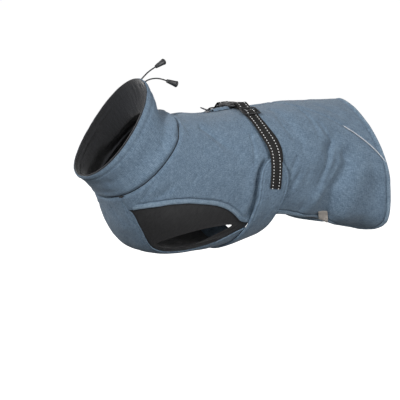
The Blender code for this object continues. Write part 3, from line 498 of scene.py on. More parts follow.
def cloud(tree, vector, detail=2.0, roughness=0.55):
    texture = tree.nodes.new("ShaderNodeTexNoise")
    texture.inputs["Scale"].default_value = 1.0
    texture.inputs["Detail"].default_value = detail
    texture.inputs["Roughness"].default_value = roughness
    tree.links.new(vector, texture.inputs["Vector"])
    return texture.outputs["Fac"]


def calc(tree, operation, a, b=0.0, c=0.0):
    node = tree.nodes.new("ShaderNodeMath")
    node.operation = operation
    for socket, value in zip(node.inputs, (a, b, c)):
        if isinstance(value, (int, float)):
            socket.default_value = value
        else:
            tree.links.new(value, socket)
    return node.outputs[0]


def spread(tree, value, low, high, to_low=0.0, to_high=1.0):
    """The value, with its range from low to high spread over another."""
    node = tree.nodes.new("ShaderNodeMapRange")
    for socket, number in zip(("From Min", "From Max", "To Min", "To Max"), (low, high, to_low, to_high)):
        node.inputs[socket].default_value = number
    tree.links.new(value, node.inputs["Value"])
    return node.outputs["Result"]


def colour(tree, shader, factor, *stops):
    """Colours a surface by a factor; each stop is a factor and its colour."""
    node = tree.nodes.new("ShaderNodeValToRGB")
    elements = node.color_ramp.elements
    while len(elements) < len(stops):
        elements.new(0.5)
    for element, (place, shade) in zip(elements, stops):
        element.position = place
        element.color = (*shade, 1)
    tree.links.new(factor, node.inputs["Fac"])
    tree.links.new(node.outputs["Color"], shader.inputs["Base Color"])


def roughen(tree, shader, value, low, high, at_low, at_high):
    """Sets a surface's roughness by a value from low to high."""
    tree.links.new(spread(tree, value, low, high, at_low, at_high), shader.inputs["Roughness"])


def bump(tree, height, distance, shader):
    """Joins a height, in units of the distance in metres, to the shader's normal."""
    node = tree.nodes.new("ShaderNodeBump")
    node.inputs["Strength"].default_value = 1.0
    node.inputs["Distance"].default_value = distance
    tree.links.new(height, node.inputs["Height"])
    tree.links.new(node.outputs["Normal"], shader.inputs["Normal"])


def waves(tree, vector, axis):
    """A sine along one axis of scaled coordinates, one wave per unit, from 0 to 1."""
    parts = tree.nodes.new("ShaderNodeSeparateXYZ")
    tree.links.new(vector, parts.inputs["Vector"])
    wave = calc(tree, "SINE", calc(tree, "MULTIPLY", parts.outputs[axis], 2 * math.pi))
    return calc(tree, "MULTIPLY_ADD", wave, 0.5, 0.5)


# the braid: strands cross at a slant
braid, tree, shader = new_finish("cord_braid", 0.75, sheen=0.15)
strands = calc(tree, "MULTIPLY", waves(tree, coordinates(tree, "UV", (900, 760, 1), 0.7), 0),
               waves(tree, coordinates(tree, "UV", (900, 760, 1), -0.7), 0))
colour(tree, shader, strands,
       (0.0, (0.012, 0.012, 0.014)), (0.6, (0.05, 0.051, 0.054)), (1.0, (0.085, 0.087, 0.09)))
bump(tree, strands, 0.00035, shader)

# the bell end: matt moulded rubber, paler where hands have rubbed it
bell, tree, shader = new_finish("cord_end_rubber", 0.42)
grain = cloud(tree, coordinates(tree, "Object", (2600, 2600, 2600)), 3)
rubbed = cloud(tree, coordinates(tree, "Object", (160, 160, 160)), 3)
colour(tree, shader, rubbed, (0.35, (0.022, 0.023, 0.025)), (0.7, (0.05, 0.052, 0.055)))
roughen(tree, shader, rubbed, 0.3, 0.7, 0.5, 0.34)
bump(tree, grain, 0.00012, shader)

# the eyelet: dark plated metal with fine scratches
plated, tree, shader = new_finish("dark_plated_metal", 0.34, metallic=1.0)
scratches = cloud(tree, coordinates(tree, "Object", (300, 2400, 300)), 4)
colour(tree, shader, scratches, (0.3, (0.13, 0.13, 0.135)), (0.75, (0.3, 0.3, 0.31)))
roughen(tree, shader, scratches, 0.3, 0.7, 0.26, 0.46)
bump(tree, scratches, 0.00006, shader)

# each free end: its angle on the collar, the places that its cord runs through from the eyelet, and its length in
# metres
CORDS = {
    "upper": (-5.0, ((8, 1, 6), (18, 2, 13.5), (28, 3, 19), (37, 4, 23)), 0.046),
    "lower": (9.0, ((6, -1, 3.6), (14, -2, 5.4), (24, -3, 5.6), (34, -4, 3.6), (42, -5, 0.9)), 0.045),
}
for name, (angle, route, length) in CORDS.items():
    base = cloth(CORD_STATION, angle)
    up = outward(CORD_STATION, angle)
    start = base + up * (SEAM + 0.2)
    path = smooth_route([start, start + up * 2.4, *(start + np.array(step) for step in route)], 1.6)
    rings, uv = round_rings(path, CORD / 2, 12)
    cord = sweep(f"cord_{name}", rings, uv, braid)
    direction = unit(path[-1] - path[-2])
    # the bell: a collar at the cord, a flaring body with two shallow grooves, and a hollow mouth
    profile = ((-0.1, 1.4), (0, 2.7), (0.5, 3.15), (1.6, 3.3), (2.0, 3.0), (2.4, 3.0), (2.9, 3.45), (7, 3.9),
               (11.5, 4.4), (16.5, 5.0), (17.6, 5.15), (18.0, 4.85), (18.4, 4.9), (18.8, 5.55), (19.4, 5.7),
               (20.3, 5.6), (20.9, 5.2), (21.0, 4.7), (20.4, 4.2), (18.4, 3.8), (17.8, 0.2))
    line = path[-1] + direction * SEAM + np.array([[d] for d, _ in profile]) * direction
    ring_side = unit(np.cross(direction, (0.3, 1, 0.2)))
    ring_other = np.cross(direction, ring_side)
    turn = circle_turns(36)
    circle = np.cos(turn)[:, None] * ring_side + np.sin(turn)[:, None] * ring_other
    rings = line[:, None] + np.array([r for _, r in profile])[:, None, None] * circle
    uv = grid_map(np.arange(len(profile)), turn * 5)
    end = plain(sweep(f"bell_{name}", rings, uv, bell), sharp=50)
    place_piece(end, "cord_end", f"cord_end_{name}")
    place_piece(cord, "cord", f"drawcord_{name}")
    # the eyelet: a rolled ring pressed into the collar's hem
    turn = circle_turns(40)
    side = unit(np.cross(up, (0.3, 1, 0.2)))
    circle = np.cos(turn)[:, None] * side + np.sin(turn)[:, None] * np.cross(up, side)
    profile = ((0.0, 3.6), (0.35, 3.62), (0.8, 3.3), (1.1, 2.8), (1.2, 2.4), (1.05, 1.95), (0.6, 1.7), (0.0, 1.65))
    rings = np.array([base + up * (SEAM + 0.1 + d) + r * circle for d, r in profile])
    uv = grid_map(np.arange(len(profile)), turn * 3)
    eyelet = sweep(f"ring_{name}", rings, uv, plated, closed=True)
    place_piece(eyelet, "zip_metal", f"eyelet_{name}")


# ------------------------------------------------------------------ collar
# A tall funnel collar of the coat's softshell: heathered blue-grey knit bonded to fleece. Its top edge is turned
# in as a tunnel for the drawcord and stitched; its lower edge bulges over the seam that joins it to the panels.
SOFTSHELL = 2.0
LINING = 1.5

# melange: two shades of yarn in short slubs, both ways of the cloth, over a fine knit
melange = bpy.data.node_groups.new("melange", "ShaderNodeTree")
for label, value in (("Slub Length", 0.0065), ("Knit", 950.0)):
    socket = melange.interface.new_socket(name=label, in_out="INPUT", socket_type="NodeSocketFloat")
    socket.default_value = value
for label in ("Tone", "Height"):
    melange.interface.new_socket(name=label, in_out="OUTPUT", socket_type="NodeSocketFloat")
group_in = melange.nodes.new("NodeGroupInput")
group_out = melange.nodes.new("NodeGroupOutput")
uv_source = melange.nodes.new("ShaderNodeTexCoord").outputs["UV"]


def group_scaled(u_size, v_size):
    """The map divided by a slub's size; a size is a number in metres or a socket."""
    parts = melange.nodes.new("ShaderNodeSeparateXYZ")
    melange.links.new(uv_source, parts.inputs["Vector"])
    joined = melange.nodes.new("ShaderNodeCombineXYZ")
    melange.links.new(calc(melange, "DIVIDE", parts.outputs["X"], u_size), joined.inputs["X"])
    melange.links.new(calc(melange, "DIVIDE", parts.outputs["Y"], v_size), joined.inputs["Y"])
    return joined.outputs["Vector"]


lengthways = cloud(melange, group_scaled(group_in.outputs["Slub Length"], 0.0011), 2, 0.6)
crossways = cloud(melange, group_scaled(0.0012, group_in.outputs["Slub Length"]), 2, 0.6)
patches = cloud(melange, group_scaled(0.018, 0.013), 3, 0.6)
yarns = cloud(melange, group_scaled(0.0007, 0.0006), 1)
tone = calc(melange, "MULTIPLY", lengthways, 0.36)
for layer, share in ((crossways, 0.3), (patches, 0.16), (yarns, 0.18)):
    tone = calc(melange, "ADD", tone, calc(melange, "MULTIPLY", layer, share))
melange.links.new(spread(melange, tone, 0.36, 0.64), group_out.inputs["Tone"])
knit_parts = melange.nodes.new("ShaderNodeSeparateXYZ")
melange.links.new(uv_source, knit_parts.inputs["Vector"])
knit_waves = []
for axis in ("X", "Y"):
    courses = calc(melange, "MULTIPLY", knit_parts.outputs[axis], group_in.outputs["Knit"])
    knit_waves.append(calc(melange, "SINE", calc(melange, "MULTIPLY", courses, 2 * math.pi)))
knit = calc(melange, "MULTIPLY", *knit_waves)
height = calc(melange, "ADD", calc(melange, "MULTIPLY", knit, 0.3), calc(melange, "MULTIPLY", yarns, 0.8))
melange.links.new(calc(melange, "ADD", height, calc(melange, "MULTIPLY", lengthways, 0.6)),
                  group_out.inputs["Height"])


def heathered(name, dark, middle, light, roughness=0.8):
    """The coat's cloth in three shades."""
    made, tree, shader = new_finish(name, roughness, sheen=0.12)
    group = tree.nodes.new("ShaderNodeGroup")
    group.node_tree = melange
    colour(tree, shader, group.outputs["Tone"], (0.0, dark), (0.5, middle), (1.0, light))
    roughen(tree, shader, group.outputs["Tone"], 0.0, 1.0, roughness + 0.08, roughness - 0.1)
    bump(tree, group.outputs["Height"], 0.00035, shader)
    return made


softshell = heathered("softshell_blue_grey", (0.055, 0.092, 0.140), (0.112, 0.172, 0.242),
                      (0.205, 0.285, 0.365))

# fleece: the brushed charcoal inside of the bonded cloth
fleece, tree, shader = new_finish("fleece_charcoal", 0.95, sheen=0.35)
tufts = cloud(tree, coordinates(tree, "UV", (620, 620, 1)), 4, 0.65)
naps = cloud(tree, coordinates(tree, "UV", (110, 150, 1)), 3, 0.6)
nap = calc(tree, "MULTIPLY_ADD", tufts, 0.6, calc(tree, "MULTIPLY", naps, 0.4))
colour(tree, shader, nap, (0.3, (0.012, 0.013, 0.016)), (0.7, (0.036, 0.038, 0.044)))
bump(tree, calc(tree, "MULTIPLY_ADD", tufts, 0.7, naps), 0.0009, shader)


def distance_to(station, angle, places):
    """Distance of cloth from a line through places, in millimetres."""
    here = cloth_map(station, angle)
    line = cloth_map(*np.array(places, float).T)
    nearest = np.full(np.shape(station), 1e9)
    for start, end in zip(line[:-1], line[1:]):
        nearest = np.minimum(nearest, beside_run(here, start, end - start)[1])
    return nearest


def seam_sink(station, angle, places, depth, reach):
    """How far the cloth sinks towards a line through places, rounded over the reach in millimetres."""
    return -depth * hump(distance_to(station, angle, places), reach)


def sinks(station, angle, *lines):
    """What several lines add up to; each is its places, its depth and its reach."""
    return sum(seam_sink(station, angle, *line) for line in lines)


def shell(name, points, stations, angles, thickness, finishes, around=False, uv=None):
    """A thin sheet over a grid, its thickness on the inner side: its own finish outside, the last one inside."""
    obj = grid_mesh(name, points, cloth_map(stations, angles) if uv is None else uv, finishes, around=around)
    row, column = points.shape[0] // 2, points.shape[1] // 2
    normal = np.cross(points[row, column + 1] - points[row, column], points[row + 1, column] - points[row, column])
    if normal @ outward(stations[row, column], angles[row, column]) <= 0:
        obj.data.flip_normals()
    solidify = obj.modifiers.new("thickness", "SOLIDIFY")
    solidify.thickness = thickness * MM
    solidify.offset = -1
    solidify.material_offset = len(finishes) - 1
    solidify.use_quality_normals = True
    return plain(obj, sharp=55)


TUNNEL = 0.16         # station of the stitches under the cord's tunnel
NAPE_BEND = 18.0
rows = np.concatenate([np.linspace(0, 0.18, 12), np.linspace(0.2, 0.8, 30)[:-1], np.linspace(0.8, 0.985, 14)])
stations, angles = np.meshgrid(rows, np.linspace(0, 360, 220, endpoint=False), indexing="ij")
side_angle = np.where(angles > 180, 360 - angles, angles)
# the seam and the tunnel's stitches draw the cloth in, and it bulges between the seam and the neck
rise = sinks(stations, side_angle, ([(1.0, 0), (1.0, 180)], 3.6, 3.0),
             ([(TUNNEL, 0), (TUNNEL, 180)], 0.8, 1.6))
rise = rise + (1.6 + 1.0 * np.exp(-side_angle / 40)) * hump(stations - 0.87, 0.085)
# the hem's tunnel is a little fuller than the rest, and gathered most near the nape
rise = rise + 0.9 * hump(stations - 0.07, 0.06)
gathers = ripple(stations * 0.2, side_angle, 11, 21) * np.exp(-side_angle / 45)
gathers = gathers + 0.35 * ripple(stations * 0.2, angles, 16, 22)
rise = rise + 0.9 * gathers * hump(stations - 0.2, 0.24)
# soft hollows where the neck bends, deepest at the nape and under the throat: each is its station, its two
# ends' angles, its depth and its reach
HOLLOWS = ((0.90, 8, 62, 2.6, 4.2), (0.55, 0, 40, 1.6, 9), (0.47, 96, 150, 1.6, 8), (0.66, 60, 92, 1.3, 6),
           (0.34, 120, 172, 1.4, 9), (0.8, 128, 165, 1.2, 6))
for station, low, high, depth, reach in HOLLOWS:
    hollow = [(station, low), (station + 0.08, (low + high) / 2), (station, high)]
    rise = rise + seam_sink(stations, side_angle, hollow, depth, reach)
# the collar's back bends in above its seam
bend_reach = np.where(stations < 0.6, 0.28, 0.2)
bend = -NAPE_BEND * hump(stations - 0.6, bend_reach) * hump(side_angle, 70)
points = cloth(stations, angles, bend + rise)
collar = shell("collar_cloth", points, stations, angles, SOFTSHELL, [softshell, fleece], around=True)
place_piece(collar, "softshell", "collar")

# the fleece facing inside the collar stands a little above its edge
facing = cloth(stations, angles, bend + np.minimum(rise, 0.3 * rise) - SOFTSHELL - 0.35)
rolled = unit(facing[0] - facing[3])
facing[0] += 1.9 * rolled + 0.4 * outward(0.0, angles[0])
facing[1] += 1.2 * rolled
facing[2] += 0.5 * rolled
facing_obj = shell("collar_facing", facing, stations, angles, LINING, [fleece, fleece], around=True)
place_piece(facing_obj, "fleece_lining", "collar_lining")


# ------------------------------------------------------------------ side panels
# The coat's two large panels, joined by a seam down the back. Each is cut round the arch over the front leg and
# runs to the tail in one piece; the seams pull the cloth in and the folds of the worn coat lie behind the belt.
SIDE = Table(
    "station top foot",
    (1.00, 0, 152.0), (1.10, 0, 153.2), (1.20, 0, 153.8), (1.32, 0, 153.2), (1.43, 0, 151.5),
    (1.50, 0, 141.5), (1.58, 0, 135.0), (1.68, 0, 129.0), (1.80, 0, 123.5), (1.98, 0, 117.0),
    (2.20, 0, 111.5), (2.50, 0, 106.5), (2.70, 0, 104.0), (2.90, 0, 102.6), (3.00, 2.0, 102.2),
    (3.25, 2.0, 101.8), (3.53, 2.0, 102.2), (3.90, 2.0, 104.0), (4.15, 2.0, 106.0), (4.33, 2.0, 108.0),
    (4.50, 2.0, 111.0), (4.65, 2.0, 114.2), (4.80, 2.0, 118.2), (4.90, 2.0, 121.0), (5.10, 2.0, 124.0),
    (5.22, 0, 125.0), (5.50, 0, 126.0), (5.75, 0, 127.0), (5.95, 0, 128.0), (6.20, 0, 131.2),
    (6.42, 0, 134.6), (6.62, 0, 137.2), (6.635, 2.5, 137.4), (6.68, 8.5, 138.0), (6.76, 15.0, 138.9),
    (6.89, 21.5, 140.3), (7.05, 27.0, 141.6), (7.21, 31.2, 142.8), (7.37, 34.5, 143.7),
    (7.55, 37.6, 144.8), (7.75, 41.0, 146.2), (7.97, 45.6, 148.6), (8.15, 50.0, 151.2),
    (8.34, 54.2, 153.8), (8.53, 59.4, 155.4), (8.68, 64.0, 155.6), (8.80, 68.4, 153.8),
    (8.88, 71.8, 149.6), (8.94, 74.8, 142.6), (8.99, 77.3, 131.0),
)
YOKE_FRONT = 6.635
TAIL_EDGE = 8.99
HEM_FRONT = 5.95
ARCH_FRONT = 1.50
ARCH_END = 4.90
COLLAR_SEAM = 1.014   # where the panels begin, just behind the collar
SEAM_ANGLE = 0.05     # half the gap between panels
BAND = 7.0            # width of the turned edge at the arches and the hem

# the belly strap's outline on the coat
STRAP = Table(
    "angle front rear",
    (72.5, 5.24, 5.46), (74.5, 5.15, 5.58), (77, 5.09, 5.67), (80.5, 5.05, 5.77), (85, 5.04, 5.87),
    (90, 5.06, 5.94), (96, 5.09, 5.97), (104, 5.12, 5.97), (112, 5.11, 5.94), (120, 5.12, 5.90),
    (128, 5.13, 5.87), (137, 5.10, 5.85), (148, 5.05, 5.84), (159, 5.02, 5.83), (170, 5.00, 5.83),
    (180, 5.00, 5.83),
)


# the belt's line over the back, from the right flank to the left
BELT_LINE = Table(
    "angle station",
    (-110, 5.56), (-96, 5.56), (-80, 5.50), (-64, 5.28), (-48, 4.98), (-33, 4.80), (-18, 4.79), (0, 4.82),
    (18, 4.84), (33, 4.88), (47, 5.06), (60, 5.31), (71, 5.45), (96, 5.56), (110, 5.56),
)
belt_places = [(float(BELT_LINE.smooth("station", angle)), angle) for angle in range(-104, 105, 4)]


def foot_angle(station):
    return SIDE.smooth("foot", station)


def top_angle(station):
    return np.where(np.asarray(station) < YOKE_FRONT, SIDE.straight("top", station), SIDE.smooth("top", station))


def foot_places(first, last, count):
    station = np.linspace(first, last, count)
    return np.stack([station, foot_angle(station)], -1)


def hem_places():
    """The hem's line: along the foot, round the corner, and up the tail edge to the yoke's seam."""
    foot = foot_places(HEM_FRONT, TAIL_EDGE, 150)
    tail = np.linspace(foot[-1, 1], float(top_angle(TAIL_EDGE)), 40)[1:]
    return np.vstack([foot, np.stack([np.full(39, TAIL_EDGE), tail], -1)])


def yoke_places(first=YOKE_FRONT, last=TAIL_EDGE, count=60):
    station = np.linspace(first, last, count)
    return np.stack([station, top_angle(station)], -1)


def panel_rise(stations, angles):
    """Height of a side panel over the form: seams draw it in, and it swells a little between them."""
    arch_groove = beside(foot_places(ARCH_FRONT, ARCH_END, 70), BAND + 0.8)
    hem_groove = beside(hem_places(), BAND + 0.8)[::2]
    before_strap = [(front - 0.045, angle) for angle, front, _ in STRAP.rows[1:9]] + [(5.075, 117)]
    behind_strap = [(rear + 0.03, angle) for angle, _, rear in STRAP.rows[2:11]]
    swelling = [(front - 0.26, angle) for angle, front, _ in STRAP.rows[3:10]]
    side = np.abs(angles)
    rise = 0.5 + sinks(
        stations, side,
        # the back seam before and behind the zip, the yoke's seam, the collar's and the chest panel's
        ([(0.9, 0), (3.0, 0)], 1.5, 3.0), ([(5.2, 0), (YOKE_FRONT, 0)], 1.5, 3.0), (yoke_places(), 1.6, 2.6),
        ([(1.0, 0), (1.0, 90), (1.0, 160)], 4.4, 3.0), ([(1.0, 0), (1.0, 55)], 1.2, 3.0),
        ([(1.0, 152), (1.2, 153.8), (1.43, 151.5), (1.5, 143)], 1.4, 2.6),
        # the stitches above the turned edges
        (arch_groove, 2.6, 1.5), (hem_groove, 2.4, 1.5),
        # the cloth turns in at the belly strap's edges, deepest in front, and swells before it
        (before_strap, 9.0, 3.6), (behind_strap, 2.4, 3.4), (swelling, -1.8, 8.0))
    # the belt draws the cloth in, and the cloth swells a little beside it
    rise = rise + sinks(stations, angles, (belt_places, 2.4, 13), (belt_places, -0.9, 22))
    # puckers beside the seams
    near = sinks(stations, side, (yoke_places(), 1, 7), (arch_groove, 1, 6), (hem_places()[::3], 1, 13))
    return rise - 0.32 * ripple(stations, angles, 8.5, 31) * near


def beside(places, distance):
    """Places moved by a distance in millimetres over the cloth, to the left of their path as seen from outside."""
    places = np.array(places, float)
    station, angle = places.T
    on_station = (figure(station + 0.01, angle) - figure(station - 0.01, angle)) / 0.02
    on_angle = figure(station, angle + 0.5) - figure(station, angle - 0.5)
    run = np.gradient(figure(station, angle), axis=0)
    left = unit(np.cross(outward(station, angle), run))
    ss, sa, aa = ((p * q).sum(-1) for p, q in ((on_station, on_station), (on_station, on_angle),
                                               (on_angle, on_angle)))
    s_left, a_left = (on_station * left).sum(-1), (on_angle * left).sum(-1)
    size = ss * aa - sa * sa
    shift = np.stack([(aa * s_left - sa * a_left) / size, (ss * a_left - sa * s_left) / size], -1)
    moved = places + distance * shift
    moved[:, 0] = np.clip(moved[:, 0], 0, 9)
    return moved


# rows of the grid, closer where the seams turn quickly, and columns, closer at the edges
rows = []
for here, after in zip(SIDE.rows[:-1, 0], SIDE.rows[1:, 0]):
    step = 1.2 if here < 1.1 or here > 8.7 else 2.2
    rows.extend(np.linspace(here, after, max(2, round((after - here) * STATION_LENGTH / step)) + 1)[:-1])
rows = np.array([*rows, TAIL_EDGE])
rows[0] = COLLAR_SEAM
across = np.concatenate([np.linspace(0, 0.04, 8)[:-1], np.linspace(0.04, 0.93, 100)[:-1],
                         np.linspace(0.93, 1, 18)])
top = np.maximum(top_angle(rows), 0) + SEAM_ANGLE
foot = foot_angle(rows) - SEAM_ANGLE
stations = np.repeat(rows[:, None], len(across), 1)
for side, label in SIDES:
    angles = side * (top[:, None] + (foot - top)[:, None] * across[None, :])
    points = cloth(stations, angles, panel_rise(stations, angles))
    panel = shell(f"side_{label}_cloth", points, stations, angles, SOFTSHELL, [softshell, fleece])
    place_piece(panel, "softshell", f"side_panel_{label}")


# ------------------------------------------------------------------ back yoke
# The rump piece between the two curved seams, of the same cloth, cut so that the coat closes over the tail.
rows = np.concatenate([np.linspace(YOKE_FRONT, 8.75, 66)[:-1], np.linspace(8.75, TAIL_EDGE, 14)])
across = np.linspace(-1, 1, 96)
angles = (np.maximum(top_angle(rows), 0.4) - SEAM_ANGLE)[:, None] * across[None, :]
stations = np.repeat(rows[:, None], len(across), 1)
rise = 0.5 + seam_sink(stations, np.abs(angles), yoke_places(), 1.6, 2.6)
rise = rise - 0.3 * ripple(stations, angles, 9, 33) * seam_sink(stations, np.abs(angles), yoke_places(), 1, 7)
# the tail edge's stitches, then soft creases
rise = rise + sinks(stations, angles, ([(TAIL_EDGE - 0.14, -80), (TAIL_EDGE - 0.14, 80)], 2.4, 1.5),
                    ([(7.6, 18), (8.1, 34)], 0.9, 6), ([(7.4, -14), (8.0, -30)], 0.8, 6),
                    ([(8.3, 20), (8.8, 44)], -0.9, 9), ([(8.2, -24), (8.75, -48)], -0.8, 9),
                    ([(7.1, 4), (7.8, -6)], 0.6, 7))
points = cloth(stations, angles, rise)
yoke = shell("yoke_cloth", points, stations, angles, SOFTSHELL, [softshell, fleece])
place_piece(yoke, "softshell", "back_yoke")


# ------------------------------------------------------------------ chest panel
# The narrow panel of the same cloth between the front legs, from the collar to the belly, under the strap.
CHEST = Table(
    "station edge",
    (1.00, 152.0), (1.10, 153.2), (1.20, 153.8), (1.32, 153.2), (1.43, 151.5), (1.55, 148.5), (1.75, 147.2),
    (1.95, 147.2), (2.15, 147.7), (2.35, 148.7), (2.60, 150.5), (2.85, 152.5), (3.10, 154.5), (3.40, 156.0),
    (3.70, 155.6), (4.00, 153.5), (4.20, 150.8), (4.40, 147.2), (4.60, 142.8), (4.80, 137.5), (4.95, 133.2),
    (5.10, 131.0), (5.28, 131.0),
)


def chest_places(first=1.43, last=5.1, count=90):
    station = np.linspace(first, last, count)
    return np.stack([station, CHEST.smooth("edge", station)], -1)


rows = np.concatenate([np.linspace(COLLAR_SEAM, 1.12, 7)[:-1], np.linspace(1.12, 5.28, 144)])
edge = CHEST.smooth("edge", rows) + SEAM_ANGLE
angles = edge[:, None] + (360 - 2 * edge)[:, None] * np.linspace(0, 1, 76)[None, :]
stations = np.repeat(rows[:, None], 76, 1)
half_angles = np.where(angles > 180, 360 - angles, angles)
groove = beside(chest_places(), -5.5)
# the collar's seam, the side panels' and the stitches beside the leg inserts
rise = 0.4 + sinks(stations, half_angles, ([(1.0, 140), (1.0, 180)], 4.2, 3.0),
                   ([(1.0, 152), (1.2, 153.8), (1.43, 151.5)], 1.4, 2.6), (groove, 0.8, 1.5))
rise = rise - 0.3 * ripple(stations, angles, 9, 35) * seam_sink(stations, half_angles, groove, 1, 8)
# soft creases
rise = rise + sinks(stations, angles, ([(1.3, 172), (1.7, 160)], 1.2, 7), ([(1.5, 190), (1.9, 204)], 1.0, 7),
                    ([(2.2, 166), (2.9, 178)], 0.8, 9), ([(3.4, 186), (4.2, 176)], 0.8, 10),
                    ([(4.4, 160), (4.8, 176)], 1.0, 8), ([(4.5, 206), (4.85, 188)], 0.9, 8))
points = cloth(stations, angles, rise)
chest = shell("chest_cloth", points, stations, angles, SOFTSHELL, [softshell, fleece])
place_piece(chest, "softshell", "chest_panel")


# ------------------------------------------------------------------ turned edges
# The arches over the legs and the hem all round are finished with a strip of the coat's cloth, turned over the
# raw edge and stitched down 7 mm from it. The strip is coloured a little paler than the panels.
edge_cloth = heathered("softshell_turned_edge", (0.085, 0.132, 0.185), (0.165, 0.238, 0.315),
                       (0.28, 0.365, 0.445), 0.72)
# the strip's section: distance inwards from the edge, and height over the cloth, from the stitches round the
# fold to the inner side
TURNED = ((7.2, -0.35), (6.9, 0.25), (6.2, 0.75), (5.0, 1.15), (3.4, 1.4), (1.8, 1.35), (0.6, 0.95), (-0.35, 0.2),
          (-0.8, -0.8), (-0.7, -1.9), (-0.1, -2.7), (1.2, -3.1), (3.0, -3.15), (4.8, -2.95), (5.4, -2.2),
          (5.6, -1.2), (6.2, -0.8))


def turned_edge(name, side, places, section, made, seed):
    """A strip turned over the cloth's edge along places. side mirrors it to the right of the coat."""
    station, angle = np.array(places).T
    run = unit(np.gradient(cloth(station, side * angle), axis=0))
    up = outward(station, side * angle)
    inwards = np.cross(up, run) * side
    rings = []
    wobble = 0.16 * ripple(station, angle, 13, seed) + 0.1 * ripple(station, angle, 5.5, seed + 1)
    for distance, height in section:
        height = height + wobble * (1 if height > 0.3 else 0)
        if distance > 0.7:
            s, a = beside(places, distance).T
            rings.append(cloth(s, side * a, height))
        else:
            rings.append(cloth(station, side * angle) + distance * inwards + np.asarray(height)[..., None] * up)
    rings = np.stack(rings, 1)
    uv = grid_map(run_length(rings[:, 4]), run_length(rings[0]))
    return plain(sweep(name, rings, uv, made), sharp=60)


def arch_places():
    """The arch's line, from the front tip of the leg insert to the strap."""
    return foot_places(ARCH_FRONT - 0.03, ARCH_END + 0.16, 120)


for side, label in SIDES:
    binding = turned_edge(f"leg_binding_{label}", side, arch_places(), TURNED, edge_cloth, 41)
    place_piece(binding, "softshell_edge", f"leg_piping_{label}")
    hem = turned_edge(f"hem_binding_{label}", side, hem_places(), TURNED, edge_cloth, 45)
    place_piece(hem, "softshell_edge", f"hem_edging_{label}")

tail_corner = float(top_angle(TAIL_EDGE))
tail_places = np.stack([np.full(60, TAIL_EDGE), np.linspace(tail_corner, -tail_corner, 60)], -1)
tail_hem = turned_edge("hem_binding_tail", 1, tail_places, TURNED, edge_cloth, 49)
place_piece(tail_hem, "softshell_edge", "hem_edging_tail")


# ------------------------------------------------------------------ leg inserts
# Smooth black stretch cloth round each front leg, sewn under the arch and the chest panel. It is drawn towards
# the leg, so it creases a little along its lower rear part, and its hole is turned in and stitched.
STRETCH = 1.2
LEG_HOLE = (
    (2.96, 147.0), (3.02, 139.5), (3.32, 130.2), (3.85, 124.4), (4.45, 122.3), (4.74, 124.2),
    (4.55, 129.5), (4.15, 139.5), (3.75, 147.5), (3.30, 150.5),
)
LEG_HOLE_CENTRE = (3.66, 136.0)

# stretch cloth: fine smooth knit with a faint sheen
stretch_knit, tree, shader = new_finish("stretch_black", 0.55, sheen=0.1)
ribs = waves(tree, coordinates(tree, "UV", (1300, 1300, 1)), 0)
dust = cloud(tree, coordinates(tree, "UV", (240, 90, 1)), 4, 0.6)
colour(tree, shader, dust, (0.3, (0.005, 0.005, 0.006)), (0.75, (0.013, 0.013, 0.0145)))
roughen(tree, shader, dust, 0.3, 0.7, 0.64, 0.5)
bump(tree, calc(tree, "MULTIPLY_ADD", ribs, 0.5, dust), 0.0002, shader)


def loop_curve(places, count):
    """A closed smooth curve through places, read at even steps."""
    places = np.array(places, float)
    total = len(places)
    steps = np.arange(count) * total / count
    k = steps.astype(int)
    t = (steps - k)[:, None]
    before, here, after, beyond = (places[(k + shift) % total] for shift in (-1, 0, 1, 2))
    return 0.5 * (2 * here + (after - before) * t + (2 * before - 5 * here + 4 * after - beyond) * t**2
                  + (3 * here - before - 3 * after + beyond) * t**3)


def ray_lengths(outline, centre, turns):
    """How far each ray from the centre runs to an outline, both in millimetres on the cloth's map."""
    a, b = outline - centre, np.roll(outline, -1, 0) - centre
    lengths = []
    for turn in turns:
        ray = np.array([math.cos(turn), math.sin(turn)])
        cross = ray[0] * (b - a)[:, 1] - ray[1] * (b - a)[:, 0]
        cross = np.where(np.abs(cross) < 1e-9, 1e-9, cross)
        length = (a[:, 0] * (b - a)[:, 1] - a[:, 1] * (b - a)[:, 0]) / cross
        share = (a[:, 0] * ray[1] - a[:, 1] * ray[0]) / cross
        lengths.append(length[(share >= 0) & (share <= 1) & (length > 0)].max())
    return np.array(lengths)


scale = np.array([STATION_LENGTH, DEGREE_LENGTH])
arch = foot_places(ARCH_FRONT, ARCH_END, 90) - (0, 1.8)
belly = np.array(chest_places(1.5, 5.1, 90)) + (0, 1.8)
# the insert runs 1.8 degrees under the pieces round it
outline = np.vstack([[(1.40, 148.0)], arch, [(5.2, 122.3), (5.2, 132.6)], belly[::-1]]) * scale
hole = loop_curve(LEG_HOLE, 160) * scale
centre = np.array(LEG_HOLE_CENTRE) * scale
corner_turns = np.arctan2(*(outline - centre).T[::-1])
even_turns = np.linspace(-math.pi, math.pi, 180, endpoint=False)
turns = np.unique(np.round(np.concatenate([corner_turns, even_turns]), 3))
near, far = ray_lengths(hole, centre, turns), ray_lengths(outline, centre, turns)
shares = np.concatenate([[0, 0.02, 0.05], np.linspace(0.1, 1, 26)])
length = near[None, :] + (far - near)[None, :] * shares[:, None]
places = (centre + length[..., None] * np.stack([np.cos(turns), np.sin(turns)], -1)) / scale
